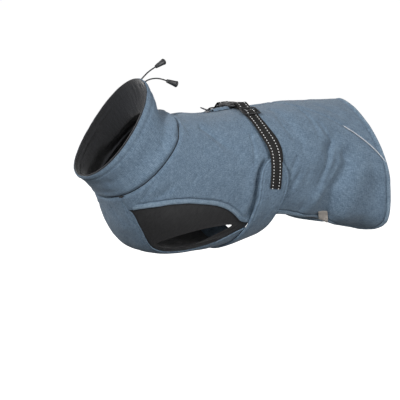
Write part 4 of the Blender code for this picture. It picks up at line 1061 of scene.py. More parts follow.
# creases: each its two ends, its depth and its reach
INSERT_CREASES = (
    ([(3.55, 152.5), (4.15, 148.5)], 0.9, 2.4), ([(3.9, 146.5), (4.55, 138.0)], 1.1, 2.6),
    ([(4.1, 150.0), (4.7, 139.5)], -0.9, 2.6), ([(4.35, 134.0), (4.85, 127.0)], 0.9, 2.4),
    ([(2.4, 112.0), (3.0, 122.0)], 0.7, 5.0), ([(1.9, 128.0), (2.6, 140.0)], 0.8, 6.0),
    ([(1.75, 141.0), (2.5, 146.0)], 0.7, 4.0), ([(3.3, 106.0), (3.6, 118.0)], 0.6, 5.0),
    ([(4.2, 111.0), (4.35, 119.0)], 0.6, 4.0),
)
INSERT_DEPTH = SOFTSHELL + 0.7     # how far the insert lies under the coat's face
for side, label in SIDES:
    stations, angles = places[..., 0], side * places[..., 1]
    # the cloth swells over the shoulder and creases behind it
    rise = -INSERT_DEPTH + sinks(stations, np.abs(angles), ([(2.3, 125), (2.9, 118)], -1.3, 22), *INSERT_CREASES)
    # the turned-in rim of the hole stands up a little
    rise = rise + 0.7 * hump(shares[:, None] - 0.03, 0.05)
    points = cloth(stations, angles, rise)
    insert = shell(f"stretch_insert_{label}", points, stations, angles, STRETCH, [stretch_knit, stretch_knit],
                   around=True)
    place_piece(insert, "stretch_cloth", f"leg_insert_{label}")


# ------------------------------------------------------------------ belly strap
# A wide double band of the same cloth under the belly. Its rounded ends lie on the coat's sides, under the belt;
# the edges are turned in and stitched 3 mm from the fold.
STRAP_HEIGHT = 2.7
mirrored = STRAP.rows[-2::-1] * (-1, 1, 1) + (360, 0, 0)
whole = np.vstack([STRAP.rows, mirrored])
round_belly = Table("row " + " ".join(STRAP.columns), *np.column_stack([np.arange(len(whole)), whole]))
fine = np.linspace(0, len(whole) - 1, 300)
strap_angle, strap_front, strap_rear = (round_belly.smooth(name, fine) for name in STRAP.columns)
across = 0.5 - 0.5 * np.cos(np.linspace(0, math.pi, 44))
angles = np.repeat(strap_angle[:, None], 44, 1)
stations = strap_front[:, None] + (strap_rear - strap_front)[:, None] * across[None, :]
strap_edge = np.vstack([np.stack([strap_front, strap_angle], -1),
                        np.stack([strap_rear, strap_angle], -1)[::-1]])
from_edge = distance_to(stations, angles, np.vstack([strap_edge, strap_edge[:1]])[::2])
# the folded edge is rounded, its stitches draw it in, and puckers and soft waves run between
rise = STRAP_HEIGHT + SOFTSHELL + SEAM - 1.5 * hump(from_edge, 1.1) - 1.1 * hump(from_edge - 4.2, 1.0)
rise = rise + 0.3 * ripple(stations, angles, 9, 51) * hump(from_edge - 5, 5)
rise = rise + 0.5 * ripple(stations, angles, 38, 52)
rise = rise + sinks(stations, angles, ([(5.3, 92), (5.5, 108)], 0.9, 6), ([(5.6, 100), (5.45, 126)], 0.8, 7),
                    ([(5.35, 262), (5.55, 244)], 0.9, 6))
# most of the folds under the strap are left out, so that it lies straight
rise = rise + 0.4 * fold_height(stations, angles)
points = figure(stations, angles) + rise[..., None] * outward(stations, angles)
strap = shell("strap_cloth", points, stations, angles, SOFTSHELL, [softshell, softshell])
place_piece(strap, "softshell", "belly_strap")


# ------------------------------------------------------------------ reflective piping
# A thin light cord in a strip of reflective film, caught in the rear end of each yoke seam.
REFLECTIVE_FRONT = 8.01
PIPING = 2.1          # its thickness, less where it runs into the seam

film, tree, shader = new_finish("reflective_film", 0.32)
beads = cloud(tree, coordinates(tree, "Object", (5200, 5200, 5200)), 1)
soil = cloud(tree, coordinates(tree, "UV", (70, 400, 1)), 3)
colour(tree, shader, soil, (0.25, (0.36, 0.39, 0.43)), (0.7, (0.62, 0.65, 0.69)))
roughen(tree, shader, beads, 0.3, 0.7, 0.22, 0.42)
bump(tree, beads, 0.00008, shader)
station, angle = yoke_places(REFLECTIVE_FRONT, TAIL_EDGE - 0.03, 90).T
fade = np.clip(np.arange(90) / 6, 0.15, 1)
for side, label in SIDES:
    path = cloth(station, side * angle, 0.5 + 0.1 * ripple(station, angle, 21, 61))
    rings, uv = round_rings(path, PIPING / 2 * fade, 14)
    piping = sweep(f"piping_{label}", rings, uv, film)
    place_piece(piping, "reflective_piping", f"reflective_piping_{label}")


# ------------------------------------------------------------------ belt webbing
# Black 25 mm polyester webbing, woven with two rows of reflective stitches. On each side its lower end is sewn
# under the belly strap; it runs up through a tri-glide, round the buckle's bar and back over itself.
WEBBING_WIDTH = 25.0
WEBBING = 1.5
TRI_GLIDE_HALF = 12.0
TRI_GLIDE_ARCS = {1: 44.0, -1: -57.0}                  # how far from the ridge, along the belt
BAR_PLACES = {1: (15.5, 7.81), -1: (-30.75, 8.58)}     # arc and height of the buckle's two webbing bars
BAR_TURN = 3.4        # radius of the webbing's turn round a bar
LOWER_LAYER = 1.15    # heights of the webbing's middle over the coat
UPPER_LAYER = 3.45
OVER_STRAP = 6.0
DASH_ROW = 7.0        # how far each row of stitches runs from the webbing's middle
DASH_PITCH = 5.4

belt_angle = np.linspace(-110, 110, 441)
belt_run = figure(BELT_LINE.smooth("station", belt_angle), belt_angle)
belt_arc = run_length(belt_run)
belt_arc = belt_arc - np.interp(0, belt_angle, belt_arc)


def belt_frame(arc):
    """Point, along (to the left), across (to the tail) and up, at an arc length from the ridge."""
    arc = np.asarray(arc, float)
    angle, ahead, behind = (np.interp(arc + step, belt_arc, belt_angle) for step in (0, 1.5, -1.5))
    station = BELT_LINE.smooth("station", angle)
    up = outward(station, angle)
    along = (figure(BELT_LINE.smooth("station", ahead), ahead)
             - figure(BELT_LINE.smooth("station", behind), behind))
    along = unit(along - np.sum(along * up, -1, keepdims=True) * up)
    return figure(station, angle), along, np.cross(along, up), up


# webbing: a tight twill of flat yarns, with a bound selvedge and a slight polish on its ribs
web_weave, tree, shader = new_finish("webbing_black", 0.7, sheen=0.02)
shader.inputs["Specular IOR Level"].default_value = 0.25
ribs = waves(tree, coordinates(tree, "UV", (620, 420, 1), 0.5), 0)
picks = waves(tree, coordinates(tree, "UV", (620, 420, 1), -0.5), 0)
weave = calc(tree, "MAXIMUM", ribs, calc(tree, "MULTIPLY", picks, 0.8))
fuzz = cloud(tree, coordinates(tree, "UV", (900, 900, 1)), 3)
shade = calc(tree, "MULTIPLY_ADD", fuzz, 0.5, calc(tree, "MULTIPLY", weave, 0.5))
colour(tree, shader, shade,
       (0.2, (0.004, 0.004, 0.0045)), (0.6, (0.012, 0.0115, 0.011)), (0.9, (0.026, 0.025, 0.024)))
roughen(tree, shader, weave, 0, 1, 0.74, 0.5)
bump(tree, shade, 0.0004, shader)

# thread with a reflective core, and plain threads for the cloth and for the webbing
reflective, tree, shader = new_finish("reflective_thread", 0.4)
# a fine speckle makes the thread's colour paler in spots: painted glints of its reflective core; the same speckle is
# its bump
painted_glint_speckle = cloud(tree, coordinates(tree, "Object", (2600, 2600, 2600)), 2)
colour(tree, shader, painted_glint_speckle, (0.3, (0.66, 0.67, 0.68)), (0.7, (0.92, 0.92, 0.91)))
bump(tree, painted_glint_speckle, 0.0001, shader)


def thread(name, dark, light):
    made, tree, shader = new_finish(name, 0.65, sheen=0.1)
    fibres = cloud(tree, coordinates(tree, "Object", (1900, 1900, 1900)), 2)
    colour(tree, shader, fibres, (0.3, dark), (0.7, light))
    bump(tree, fibres, 0.0001, shader)
    return made


cloth_thread = thread("thread_slate", (0.045, 0.075, 0.112), (0.085, 0.13, 0.18))
black_thread = thread("thread_black", (0.018, 0.018, 0.02), (0.05, 0.05, 0.054))

# the node tree that lays copies of a small shape at even steps along paths
along_path = bpy.data.node_groups.new("along_path", "GeometryNodeTree")
for label, in_out, kind in (("Geometry", "INPUT", "NodeSocketGeometry"), ("Pitch", "INPUT", "NodeSocketFloat"),
                            ("Shape", "INPUT", "NodeSocketObject"), ("Finish", "INPUT", "NodeSocketMaterial"),
                            ("Geometry", "OUTPUT", "NodeSocketGeometry")):
    along_path.interface.new_socket(name=label, in_out=in_out, socket_type=kind)
steps = {name: along_path.nodes.new(kind) for name, kind in (
    ("start", "NodeGroupInput"), ("curve", "GeometryNodeMeshToCurve"), ("even", "GeometryNodeResampleCurve"),
    ("shape", "GeometryNodeObjectInfo"), ("tangent", "GeometryNodeInputTangent"),
    ("up", "GeometryNodeInputNamedAttribute"), ("turn", "FunctionNodeAxesToRotation"),
    ("copies", "GeometryNodeInstanceOnPoints"), ("real", "GeometryNodeRealizeInstances"),
    ("finish", "GeometryNodeSetMaterial"), ("end", "NodeGroupOutput"))}
steps["even"].mode = "LENGTH"
steps["up"].data_type = "FLOAT_VECTOR"
steps["up"].inputs["Name"].default_value = "up"
steps["turn"].primary_axis = "X"
steps["turn"].secondary_axis = "Z"
for source, output, target, socket in (
        ("start", "Geometry", "curve", "Mesh"), ("curve", "Curve", "even", "Curve"),
        ("start", "Pitch", "even", "Length"), ("start", "Shape", "shape", "Object"),
        ("even", "Curve", "copies", "Points"), ("shape", "Geometry", "copies", "Instance"),
        ("tangent", "Tangent", "turn", "Primary Axis"), ("up", "Attribute", "turn", "Secondary Axis"),
        ("turn", "Rotation", "copies", "Rotation"), ("copies", "Instances", "real", "Geometry"),
        ("real", "Geometry", "finish", "Geometry"), ("start", "Finish", "finish", "Material"),
        ("finish", "Geometry", "end", "Geometry")):
    along_path.links.new(steps[source].outputs[output], steps[target].inputs[socket])


def repeated(name, paths, shape, pitch, made):
    """Copies of a shape at even steps along paths. Each path is its points and its outward directions, in
    millimetres; the shape is used up."""
    mesh = bpy.data.meshes.new(name)
    points, edges, ups = [], [], []
    for path, up in paths:
        edges += [(len(points) + k, len(points) + k + 1) for k in range(len(path) - 1)]
        points += (np.asarray(path) * MM).tolist()
        ups.append(np.broadcast_to(up, np.shape(path)))
    mesh.from_pydata(points, edges, [])
    attribute = mesh.attributes.new("up", "FLOAT_VECTOR", "POINT")
    attribute.data.foreach_set("vector", np.concatenate(ups).ravel())
    obj = bpy.data.objects.new(name, mesh)
    scene.collection.objects.link(obj)
    modifier = obj.modifiers.new("copies", "NODES")
    modifier.node_group = along_path
    values = {"Pitch": pitch * MM, "Shape": shape, "Finish": made}
    for item in along_path.interface.items_tree:
        if item.name in values:
            modifier[item.identifier] = values[item.name]
    plain(obj)
    bpy.data.objects.remove(shape, do_unlink=True)
    obj.data.shade_smooth()
    return obj


def stitch_shape(length, width, height, slant=0.0):
    """One stitch: a small rounded lozenge of thread, drawn in at both ends."""
    body = bmesh.new()
    bmesh.ops.create_uvsphere(body, u_segments=8, v_segments=5, radius=0.5)
    for vert in body.verts:
        x, y, z = vert.co.z, vert.co.y, vert.co.x
        vert.co = Vector((x * length, y * width + x * slant, z * height - height * 0.6 * abs(x))) * MM
    mesh = bpy.data.meshes.new("stitch")
    bmesh.ops.recalc_face_normals(body, faces=body.faces)
    body.to_mesh(mesh)
    body.free()
    shape = bpy.data.objects.new("stitch", mesh)
    scene.collection.objects.link(shape)
    return shape


# the webbing's section, round its edge: across the width and through the thickness
half = WEBBING_WIDTH / 2
face = WEBBING / 2
upper_side = [(-half + 0.6, face - 0.07), (-half + 1.2, face - 0.16), (-half + 1.8, face), (-8.6, face),
              (-8.2, face - 0.1), (-5.8, face - 0.1), (-5.4, face), (5.4, face), (5.8, face - 0.1),
              (8.2, face - 0.1), (8.6, face), (half - 1.8, face), (half - 1.2, face - 0.16),
              (half - 0.6, face - 0.07), (half - 0.15, 0.42)]
lower_side = [(x, -z) for x, z in reversed(upper_side)]
section = np.array([*upper_side, (half, 0.0), *lower_side, (-half + 0.15, -0.42), (-half, 0.0),
                    (-half + 0.15, 0.42)])
for side, label in SIDES:
    glide = TRI_GLIDE_ARCS[side]
    bar_arc, bar_height = BAR_PLACES[side]
    at_50, at_61, at_69, strap_end, tail = np.interp(side * np.array([50, 61, 69, 81, 99]), belt_angle, belt_arc)
    turn = [(bar_arc - side * BAR_TURN * math.cos(t), bar_height - BAR_TURN * math.sin(t), 0)
            for t in np.linspace(math.pi / 2 + 0.4, -math.pi / 2 - 0.6, 8)]
    lower = [(strap_end, LOWER_LAYER, -4.0), (at_61, LOWER_LAYER, -6.0), (glide + side * 14, LOWER_LAYER, -1.5),
             (glide, LOWER_LAYER, 0), (glide - side * 5, LOWER_LAYER + 0.1, 0)]
    upper = [(glide - side * TRI_GLIDE_HALF, UPPER_LAYER, 0), (glide - side * 9, UPPER_LAYER, 0),
             (glide - side * 3.2, OVER_STRAP + 0.2, 0), (glide + side * 3.2, OVER_STRAP + 0.2, 0),
             (glide + side * 9, UPPER_LAYER, 0), (glide + side * 13, UPPER_LAYER - 0.15, 0), (at_50, 3.8, 0.5),
             (at_61, 5.4, 1.0), (at_69, OVER_STRAP, 1.0), (strap_end, OVER_STRAP, 1.0), (tail, OVER_STRAP, 1.0)]
    arc, height, shift = smooth_route(lower + turn + upper, 1.7).T
    place, _, across, up = belt_frame(arc)
    middle = place + height[:, None] * up + shift[:, None] * across
    run = unit(np.gradient(middle, axis=0))
    across = unit(across - np.sum(across * run, -1, keepdims=True) * run)
    normal = np.cross(run, across)
    rings = np.stack([middle + across * x + normal * z for x, z in section], 1)
    length = run_length(middle)
    uv = grid_map(length, run_length(section))
    web = plain(sweep(f"webbing_{label}", rings, uv, web_weave), sharp=60)
    rows = [(middle + across * row + normal * lift, normal * np.sign(lift))
            for row in (-DASH_ROW, DASH_ROW) for lift in (face - 0.02, 0.02 - face)]
    dashes = repeated(f"webbing_dashes_{label}", rows, stitch_shape(2.8, 1.9, 0.9, slant=0.4), DASH_PITCH,
                      reflective)
    # the sewn end: rows of black thread across the webbing
    ends = []
    for back in (3.0, 5.4, 13.5):
        k = int(np.argmin(np.abs(length - (length[-1] - back))))
        line = middle[k] + np.linspace(-10.4, 10.4, 12)[:, None] * across[k] + (face + 0.02) * normal[k]
        ends.append((line, normal[k]))
    tack = repeated(f"webbing_tacks_{label}", ends, stitch_shape(2.6, 0.75, 0.6), 2.9, black_thread)
    place_piece(web, "webbing", f"belt_webbing_{label}")
    place_piece(dashes, "webbing")
    place_piece(tack, "webbing")


# ------------------------------------------------------------------ buckle and tri-glides
# A side-release buckle for 25 mm webbing, moulded in black acetal, fastened on the back, and a moulded tri-glide
# on each side. The buckle's arms show in the notches of the body, where fingers pinch them.
plastic, tree, shader = new_finish("moulded_black", 0.42)
grain = cloud(tree, coordinates(tree, "Object", (1500, 1500, 1500)), 3)
scuffs = cloud(tree, coordinates(tree, "Object", (260, 190, 320)), 4, 0.65)
colour(tree, shader, scuffs,
       (0.35, (0.010, 0.010, 0.011)), (0.62, (0.018, 0.018, 0.019)), (0.8, (0.04, 0.04, 0.042)))
roughen(tree, shader, scuffs, 0.3, 0.75, 0.34, 0.56)
bump(tree, grain, 0.00014, shader)


class Place:
    """A flat frame for hardware: x along the belt to the left, y across it to the tail, z up."""

    def __init__(self, origin, along, across, up):
        self.origin, self.along, self.across, self.up = origin, along, across, up

    def point(self, x, y, z):
        x, y, z = (np.asarray(value, float)[..., None] for value in (x, y, z))
        return self.origin + x * self.along + y * self.across + z * self.up


def rounded(*corners):
    """An outline with its corners rounded; each corner is x, y and a radius."""
    outline = []
    for k, (x, y, radius) in enumerate(corners):
        here = np.array([x, y], float)
        before, after = (unit(np.array(corners[j % len(corners)][:2], float) - here) for j in (k - 1, k + 1))
        open_angle = math.acos(np.clip(before @ after, -1, 1))
        reach = radius / math.tan(open_angle / 2)
        centre = here + unit(before + after) * radius / math.sin(open_angle / 2)
        start, end = here + before * reach - centre, here + after * reach - centre
        turn = math.atan2(start[0] * end[1] - start[1] * end[0], start @ end)
        for t in np.linspace(0, turn, 7):
            outline.append(centre + np.array([start[0] * math.cos(t) - start[1] * math.sin(t),
                                              start[0] * math.sin(t) + start[1] * math.cos(t)]))
    return outline


def block(low_x, high_x, y, radius):
    """The outline of a rounded rectangle between two x, from -y to y."""
    return rounded((low_x, -y, radius), (high_x, -y, radius), (high_x, y, radius), (low_x, y, radius))


def moulded(name, place, layers, made, dome=0.0):
    """Moulded plates in a flat frame. Each layer: its outline and holes, its low and high level, and the radius of
    its edges. dome lowers the plate towards its sides."""
    meshes = []
    for outlines, low, high, edge in layers:
        curve = bpy.data.curves.new("outline", "CURVE")
        curve.dimensions = "2D"
        curve.fill_mode = "BOTH"
        curve.extrude = (high - low) / 2 - edge
        curve.bevel_depth = edge
        curve.bevel_resolution = 2
        curve.offset = -edge
        for outline in outlines:
            spline = curve.splines.new("POLY")
            spline.points.add(len(outline) - 1)
            spline.use_cyclic_u = True
            for target, (x, y) in zip(spline.points, outline):
                target.co = (x, y, 0, 1)
        cut = bpy.data.objects.new("outline", curve)
        scene.collection.objects.link(cut)
        bpy.context.view_layer.update()
        graph = bpy.context.evaluated_depsgraph_get()
        meshes.append((bpy.data.meshes.new_from_object(cut.evaluated_get(graph)), (low + high) / 2))
        bpy.data.objects.remove(cut, do_unlink=True)
    body = bmesh.new()
    for mesh, level in meshes:
        first = len(body.verts)
        body.from_mesh(mesh)
        body.verts.ensure_lookup_table()
        for vert in body.verts[first:]:
            x, y, z = vert.co
            vert.co = Vector(place.point(x, y, z + level - dome * y * y) * MM)
    bmesh.ops.remove_doubles(body, verts=body.verts, dist=0.000004)
    bmesh.ops.recalc_face_normals(body, faces=body.faces)
    made_mesh = bpy.data.meshes.new(name)
    body.to_mesh(made_mesh)
    body.free()
    made_mesh.materials.append(made)
    made_mesh.shade_smooth()
    made_mesh.set_sharp_from_angle(angle=math.radians(32))
    obj = bpy.data.objects.new(name, made_mesh)
    scene.collection.objects.link(obj)
    return obj


BELT_CENTRE_ARC = -8.0
BUCKLE_HALF = 16.5    # half the buckle's width, and half its slots'
SLOT_HALF = 13.7
ARM_INNER = 12.4
buckle = Place(*belt_frame(BELT_CENTRE_ARC))
# the body: a webbing slot at its end, a full-width shoulder, and a narrower nose between the arms
nose = rounded((-18.4, -BUCKLE_HALF, 3.2), (-9.2, -BUCKLE_HALF, 2.6), (-8.0, -ARM_INNER + 0.6, 1.0),
               (3.4, -ARM_INNER + 0.6, 2.4), (3.4, ARM_INNER - 0.6, 2.4), (-8.0, ARM_INNER - 0.6, 1.0),
               (-9.2, BUCKLE_HALF, 2.6), (-18.4, BUCKLE_HALF, 3.2))
loop = [block(-25.8, -15.0, BUCKLE_HALF, 2.8), block(-23.3, -18.4, SLOT_HALF, 1.0)]
female = moulded("buckle_body", buckle, [([nose], 2.8, 9.8, 1.3), (loop, 5.0, 7.8, 0.9),
                                         ([block(-16.2, 1.2, 9.0, 2.2)], 9.2, 10.25, 0.35)], plastic, dome=0.006)
place_piece(female, "moulded_plastic", "buckle_female")
# the plug: a webbing slot, a base, and two springy arms whose pads have grip ribs
base = rounded((4.0, -BUCKLE_HALF + 1.2, 1.6), (8.0, -BUCKLE_HALF, 2.4), (15.6, -BUCKLE_HALF, 3.0),
               (15.6, BUCKLE_HALF, 3.0), (8.0, BUCKLE_HALF, 2.4), (4.0, BUCKLE_HALF - 1.2, 1.6))
loop = [block(12.6, 25.8, BUCKLE_HALF, 2.8), block(18.0, 23.3, SLOT_HALF, 1.0)]
layers = [([base], 2.8, 9.3, 1.3), (loop, 5.0, 7.6, 0.9), ([block(6.2, 13.4, 9.0, 1.8)], 9.0, 9.75, 0.3)]
for side in (1, -1):
    arm = [(x, side * y, r) for x, y, r in ((-8.4, 13.0, 1.0), (6.0, 12.6, 0.6), (6.0, 15.9, 0.6), (1.0, 15.6, 2.0),
                                            (-3.2, 16.7, 2.4), (-7.6, 16.4, 1.6))]
    layers.append(([rounded(*arm)], 4.0, 8.6, 0.8))
    for x in (-5.8, -4.2, -2.6):
        rib = [(x - 0.35, side * 15.4), (x + 0.35, side * 15.4),
               (x + 0.35, side * 16.95), (x - 0.35, side * 16.95)]
        layers.append(([rib], 4.6, 8.0, 0.15))
male = moulded("buckle_plug", buckle, layers, plastic, dome=0.003)
place_piece(male, "moulded_plastic", "buckle_male")

# the tri-glide: a frame above the webbing and a lower middle bar that the webbing climbs over
for side, label in SIDES:
    place = Place(*belt_frame(TRI_GLIDE_ARCS[side]))
    frame_outline = [block(-TRI_GLIDE_HALF, TRI_GLIDE_HALF, 17.2, 3.4), block(-9.0, 9.0, 14.0, 1.6)]
    rim = moulded("glide_frame", place, [(frame_outline, 5.0, 7.3, 0.85)], plastic)
    bar_path = smooth_route([(-16.2, 6.1), (-14.6, 5.2), (-13.3, 4.0), (-11.5, 3.8), (0, 3.8), (11.5, 3.8),
                             (13.3, 4.0), (14.6, 5.2), (16.2, 6.1)], 1.2)
    turn = circle_turns(14)
    rings = np.stack([place.point(2.0 * math.cos(t), bar_path[:, 0], bar_path[:, 1] + 0.9 * math.sin(t))
                      for t in turn], 1)
    bar = sweep("glide_bar", rings, grid_map(bar_path[:, 0], turn), plastic)
    body = bmesh.new()
    body.from_mesh(rim.data)
    body.from_mesh(bar.data)
    body.to_mesh(rim.data)
    body.free()
    bpy.data.objects.remove(bar, do_unlink=True)
    rim.name = f"glide_{label}"
    place_piece(rim, "moulded_plastic", f"tri_glide_{label}")


# ------------------------------------------------------------------ lead zip
# A short coil zip in the back seam, through which a lead reaches a harness: black tape under the panels' edges,
# the closed coil, a plated slider whose bail holds a wire ring, and a flap of the coat's cloth over the coil.
ZIP_FRONT = 2.95
ZIP_END = 5.16
SLIDER_STATION = 3.28
FLAP_FRONT = 3.50
FLAP_END = 4.36
FLAP_RIGHT = -3.6     # the flap's two long edges, in degrees
FLAP_LEFT = 4.2
TAPE = 0.9
PULL_TILT = math.radians(24)
PULL_LENGTH = 17.0
PULL_WIDTH = 8.5
PULL_WIRE = 1.4

tape_weave, tree, shader = new_finish("zip_tape_black", 0.85)
herringbone = waves(tree, coordinates(tree, "UV", (900, 900, 1), 0.785), 0)
colour(tree, shader, herringbone, (0.0, (0.006, 0.006, 0.007)), (1.0, (0.02, 0.02, 0.022)))
bump(tree, herringbone, 0.0002, shader)
stations, angles = np.meshgrid(np.linspace(ZIP_FRONT - 0.12, ZIP_END + 0.12, 60), np.linspace(-5, 5, 17),
                               indexing="ij")
points = cloth(stations, angles, -SOFTSHELL - 2 * SEAM)
tape = shell("zip_tape_cloth", points, stations, angles, TAPE, [tape_weave, tape_weave])
place_piece(tape, "webbing", "zip_tape")

TOOTH_PITCH = 1.25
tooth = bmesh.new()
bmesh.ops.create_cube(tooth, size=1.0)
for vert in tooth.verts:
    vert.co = Vector((vert.co.x * 0.75, vert.co.y * 4.6, vert.co.z * 1.3 - 0.5 * abs(vert.co.y))) * MM
bmesh.ops.bevel(tooth, geom=list(tooth.edges), offset=0.00016, segments=1, affect="EDGES")
tooth_mesh = bpy.data.meshes.new("tooth")
tooth.to_mesh(tooth_mesh)
tooth.free()
tooth_shape = bpy.data.objects.new("tooth", tooth_mesh)
scene.collection.objects.link(tooth_shape)
station = np.linspace(ZIP_FRONT + 0.1, ZIP_END - 0.06, 80)
coil_line = cloth(station, 0.0 * station, -1.5)
coil = repeated("zip_coil", [(coil_line, outward(station, 0.0 * station))], tooth_shape, TOOTH_PITCH, plastic)
place_piece(coil, "moulded_plastic")

# the flap, doubled and stitched along its sides; its height over the coil
FLAP = Table("angle height", (-3.6, 0.5), (-2.4, 2.2), (-0.8, 3.6), (0.8, 4.0), (2.6, 3.2), (4.2, 1.4))
stations, angles = np.meshgrid(np.linspace(FLAP_FRONT, FLAP_END, 40), np.linspace(FLAP_RIGHT, FLAP_LEFT, 24),
                               indexing="ij")
from_end = np.minimum(stations - FLAP_FRONT, FLAP_END - stations) * STATION_LENGTH
from_side = np.minimum(angles - FLAP_RIGHT, FLAP_LEFT - angles) * DEGREE_LENGTH
rise = FLAP.smooth("height", angles) + 1.6 - 0.8 * np.exp(-from_end / 0.8) - 0.8 * np.exp(-from_side / 0.8)
rise = rise - 0.35 * hump(from_side - 2.0, 0.6) + 0.3 * ripple(stations, angles, 12, 71)
points = cloth(stations, angles, rise)
flap = shell("zip_flap_cloth", points, stations, angles, LINING, [softshell, softshell])
place_piece(flap, "softshell", "zip_flap")

# the slider: two plates joined by a wedge, and a bail on top
ridge = cloth(SLIDER_STATION, 0.0)
ahead = unit(cloth(SLIDER_STATION + 0.05, 0.0) - cloth(SLIDER_STATION - 0.05, 0.0))
ridge_up = outward(SLIDER_STATION, 0.0)
slide = Place(ridge, ahead, np.cross(ridge_up, ahead), ridge_up)
plate_outline = rounded((-5, -2.9, 1.2), (0.5, -3.0, 2.0), (5, -2.0, 1.0), (5, 2.0, 1.0), (0.5, 3.0, 2.0),
                        (-5, 2.9, 1.2))
wedge_outline = rounded((-4.2, -0.9, 0.5), (1.0, -0.7, 0.6), (1.0, 0.7, 0.6), (-4.2, 0.9, 0.5))
slider = moulded("slider", slide, [([plate_outline], 0.9, 2.2, 0.4), ([wedge_outline], -1.7, 1.2, 0.2),
                                   ([plate_outline], -1.7, -0.9, 0.3)], plated)
turn = np.linspace(0, math.pi, 17)
bail = np.array([(-2.9, 1.2), *((-2.9 * math.cos(t), 2.0 + 3.1 * math.sin(t)) for t in turn), (2.9, 1.2)])
bail_run = unit(np.gradient(bail, axis=0))
circle = circle_turns(12)
rings = np.stack([slide.point(bail[:, 0] - bail_run[:, 1] * 0.5 * math.cos(t), 0.8 * math.sin(t) + 0 * bail[:, 0],
                              bail[:, 1] + bail_run[:, 0] * 0.5 * math.cos(t)) for t in circle], 1)
bail_piece = sweep("slider_bail", rings, grid_map(np.arange(len(bail)), circle), plated)
place_piece(slider, "zip_metal", "zip_slider")
place_piece(bail_piece, "zip_metal")

# the pull: a ring of round wire, drawn in to a neck where the bail holds it
pivot = slide.point(0, 0, 3.55)
forward = -math.cos(PULL_TILT) * ahead + math.sin(PULL_TILT) * ridge_up
turn = circle_turns(84)
ring_x = PULL_LENGTH / 2 * (1 - np.cos(turn))
ring_y = PULL_WIDTH / 2 * np.sign(np.sin(turn)) * np.abs(np.sin(turn))**0.75
ring_line = np.stack([ring_x, ring_y], -1)
ring_run = unit(np.roll(ring_line, -1, 0) - np.roll(ring_line, 1, 0))
ring_side = np.stack([ring_run[:, 1], -ring_run[:, 0]], -1)
ring_up = np.cross(forward, slide.across)
rings = []
for t in circle:
    flat = ring_line + ring_side * PULL_WIRE / 2 * math.cos(t)
    rings.append(pivot + flat[:, :1] * forward + flat[:, 1:] * slide.across
                 + PULL_WIRE / 2 * math.sin(t) * ring_up)
pull = sweep("pull_ring", np.stack(rings, 1), grid_map(np.arange(84), circle), plated, closed=True)
place_piece(pull, "zip_metal", "zip_pull", body="zip_pull")


# ------------------------------------------------------------------ hem tab
# A small tab of grey woven tape, caught in the hem over the left thigh. It is bare.
tab_tape, tree, shader = new_finish("tab_tape_grey", 0.72, sheen=0.1)
picks = calc(tree, "MULTIPLY", waves(tree, coordinates(tree, "UV", (1400, 1, 1)), 0),
             waves(tree, coordinates(tree, "UV", (1, 1700, 1)), 1))
dust = cloud(tree, coordinates(tree, "UV", (300, 300, 1)), 4)
shade = calc(tree, "MULTIPLY_ADD", picks, 0.4, calc(tree, "MULTIPLY", dust, 0.6))
colour(tree, shader, shade, (0.25, (0.42, 0.385, 0.35)), (0.7, (0.62, 0.575, 0.525)))
bump(tree, picks, 0.0002, shader)
TAB_FRONT = 7.19
TAB_TOP = 133.0
TAB_WIDTH = 17
TAB_LENGTH = 20
u, v = np.meshgrid(np.linspace(0, 1, 26), np.linspace(0, 0.97, 22), indexing="ij")
stations = TAB_FRONT + 0.275 * u + 0.20 * v
angles = TAB_TOP + v * (foot_angle(stations) + 0.4 - TAB_TOP)
# it lies on the turned edge, lower at its sewn top, its stitches and the hem
rise = 2.7 - 0.9 * hump(1 - v, 0.12) - 0.9 * hump(v, 0.05) - 0.35 * hump(v - 0.1, 0.05)
points = cloth(stations, angles, rise)
tab = shell("hem_tab", points, stations, angles, TAPE, [tab_tape, tab_tape],
            uv=np.stack([u * TAB_WIDTH, v * TAB_LENGTH], -1))
place_piece(tab, "label_cloth", "label_tab")


# ------------------------------------------------------------------ stitching
# Lock-stitch rows in slate thread, 3 mm a stitch: along the turned edges, beside the back and yoke seams, on the
# chest panel's edge, round the belly strap, on the collar's tunnel and the flap, and black on the inserts.
STITCH_PITCH = 3.0
FEELER = 16           # where the search for a piece's face starts, over the form, and its reach, in millimetres
FEELER_REACH = 30
THREAD_LIFT = 0.06
bpy.context.view_layer.update()


def laid(places, side, piece):
    """A path on the outer face of a piece, under places of the coat, and the directions outwards."""
    station, angle = np.array(places, float).T
    up = outward(station, side * angle)
    path = []
    for origin, direction in zip(figure(station, side * angle) + FEELER * up, up):
        hit, point, _, _ = piece.ray_cast(Vector(origin * MM), Vector(-direction), distance=FEELER_REACH * MM)
        path.append(np.array(point) / MM if hit else origin - (FEELER - 0.6) * direction)
    return np.array(path) + THREAD_LIFT * up, up


def sew(name, rows, made, slot_name, size=(2.3, 0.6, 0.5)):
    place_piece(repeated(name, rows, stitch_shape(*size), STITCH_PITCH, made), slot_name)


pieces = bpy.data.objects
back_row = Table("station angle", (1.06, 1.3), (2.84, 1.3), (2.98, 3.5), (5.12, 3.5), (5.26, 1.3), (6.60, 1.3))
station = np.linspace(1.06, 6.60, 240)
centre_row = np.stack([station, back_row.straight("angle", station)], -1)
edge_rows = []
panel_rows = []
for side, label in SIDES:
    panel = pieces[f"side_{label}_cloth"]
    edge_rows.append(laid(beside(arch_places(), 6.0), side, pieces[f"leg_binding_{label}"]))
    edge_rows.append(laid(beside(hem_places(), 6.0), side, pieces[f"hem_binding_{label}"]))
    panel_rows.append(laid(centre_row, side, panel))
    panel_rows.append(laid(beside(yoke_places(), -2.0), side, panel))
    panel_rows.append(laid(beside(chest_places(1.5, 5.0), -2.6), side, pieces["chest_cloth"]))
edge_rows.append(laid(beside(tail_places, 6.0), 1, pieces["hem_binding_tail"]))
ring = np.linspace(0, 360, 200)
panel_rows.append(laid(np.stack([np.full(200, TUNNEL + 0.012), ring], -1), 1, pieces["collar_cloth"]))
strap_row = beside(loop_curve(strap_edge[::6], 520), -4.0)
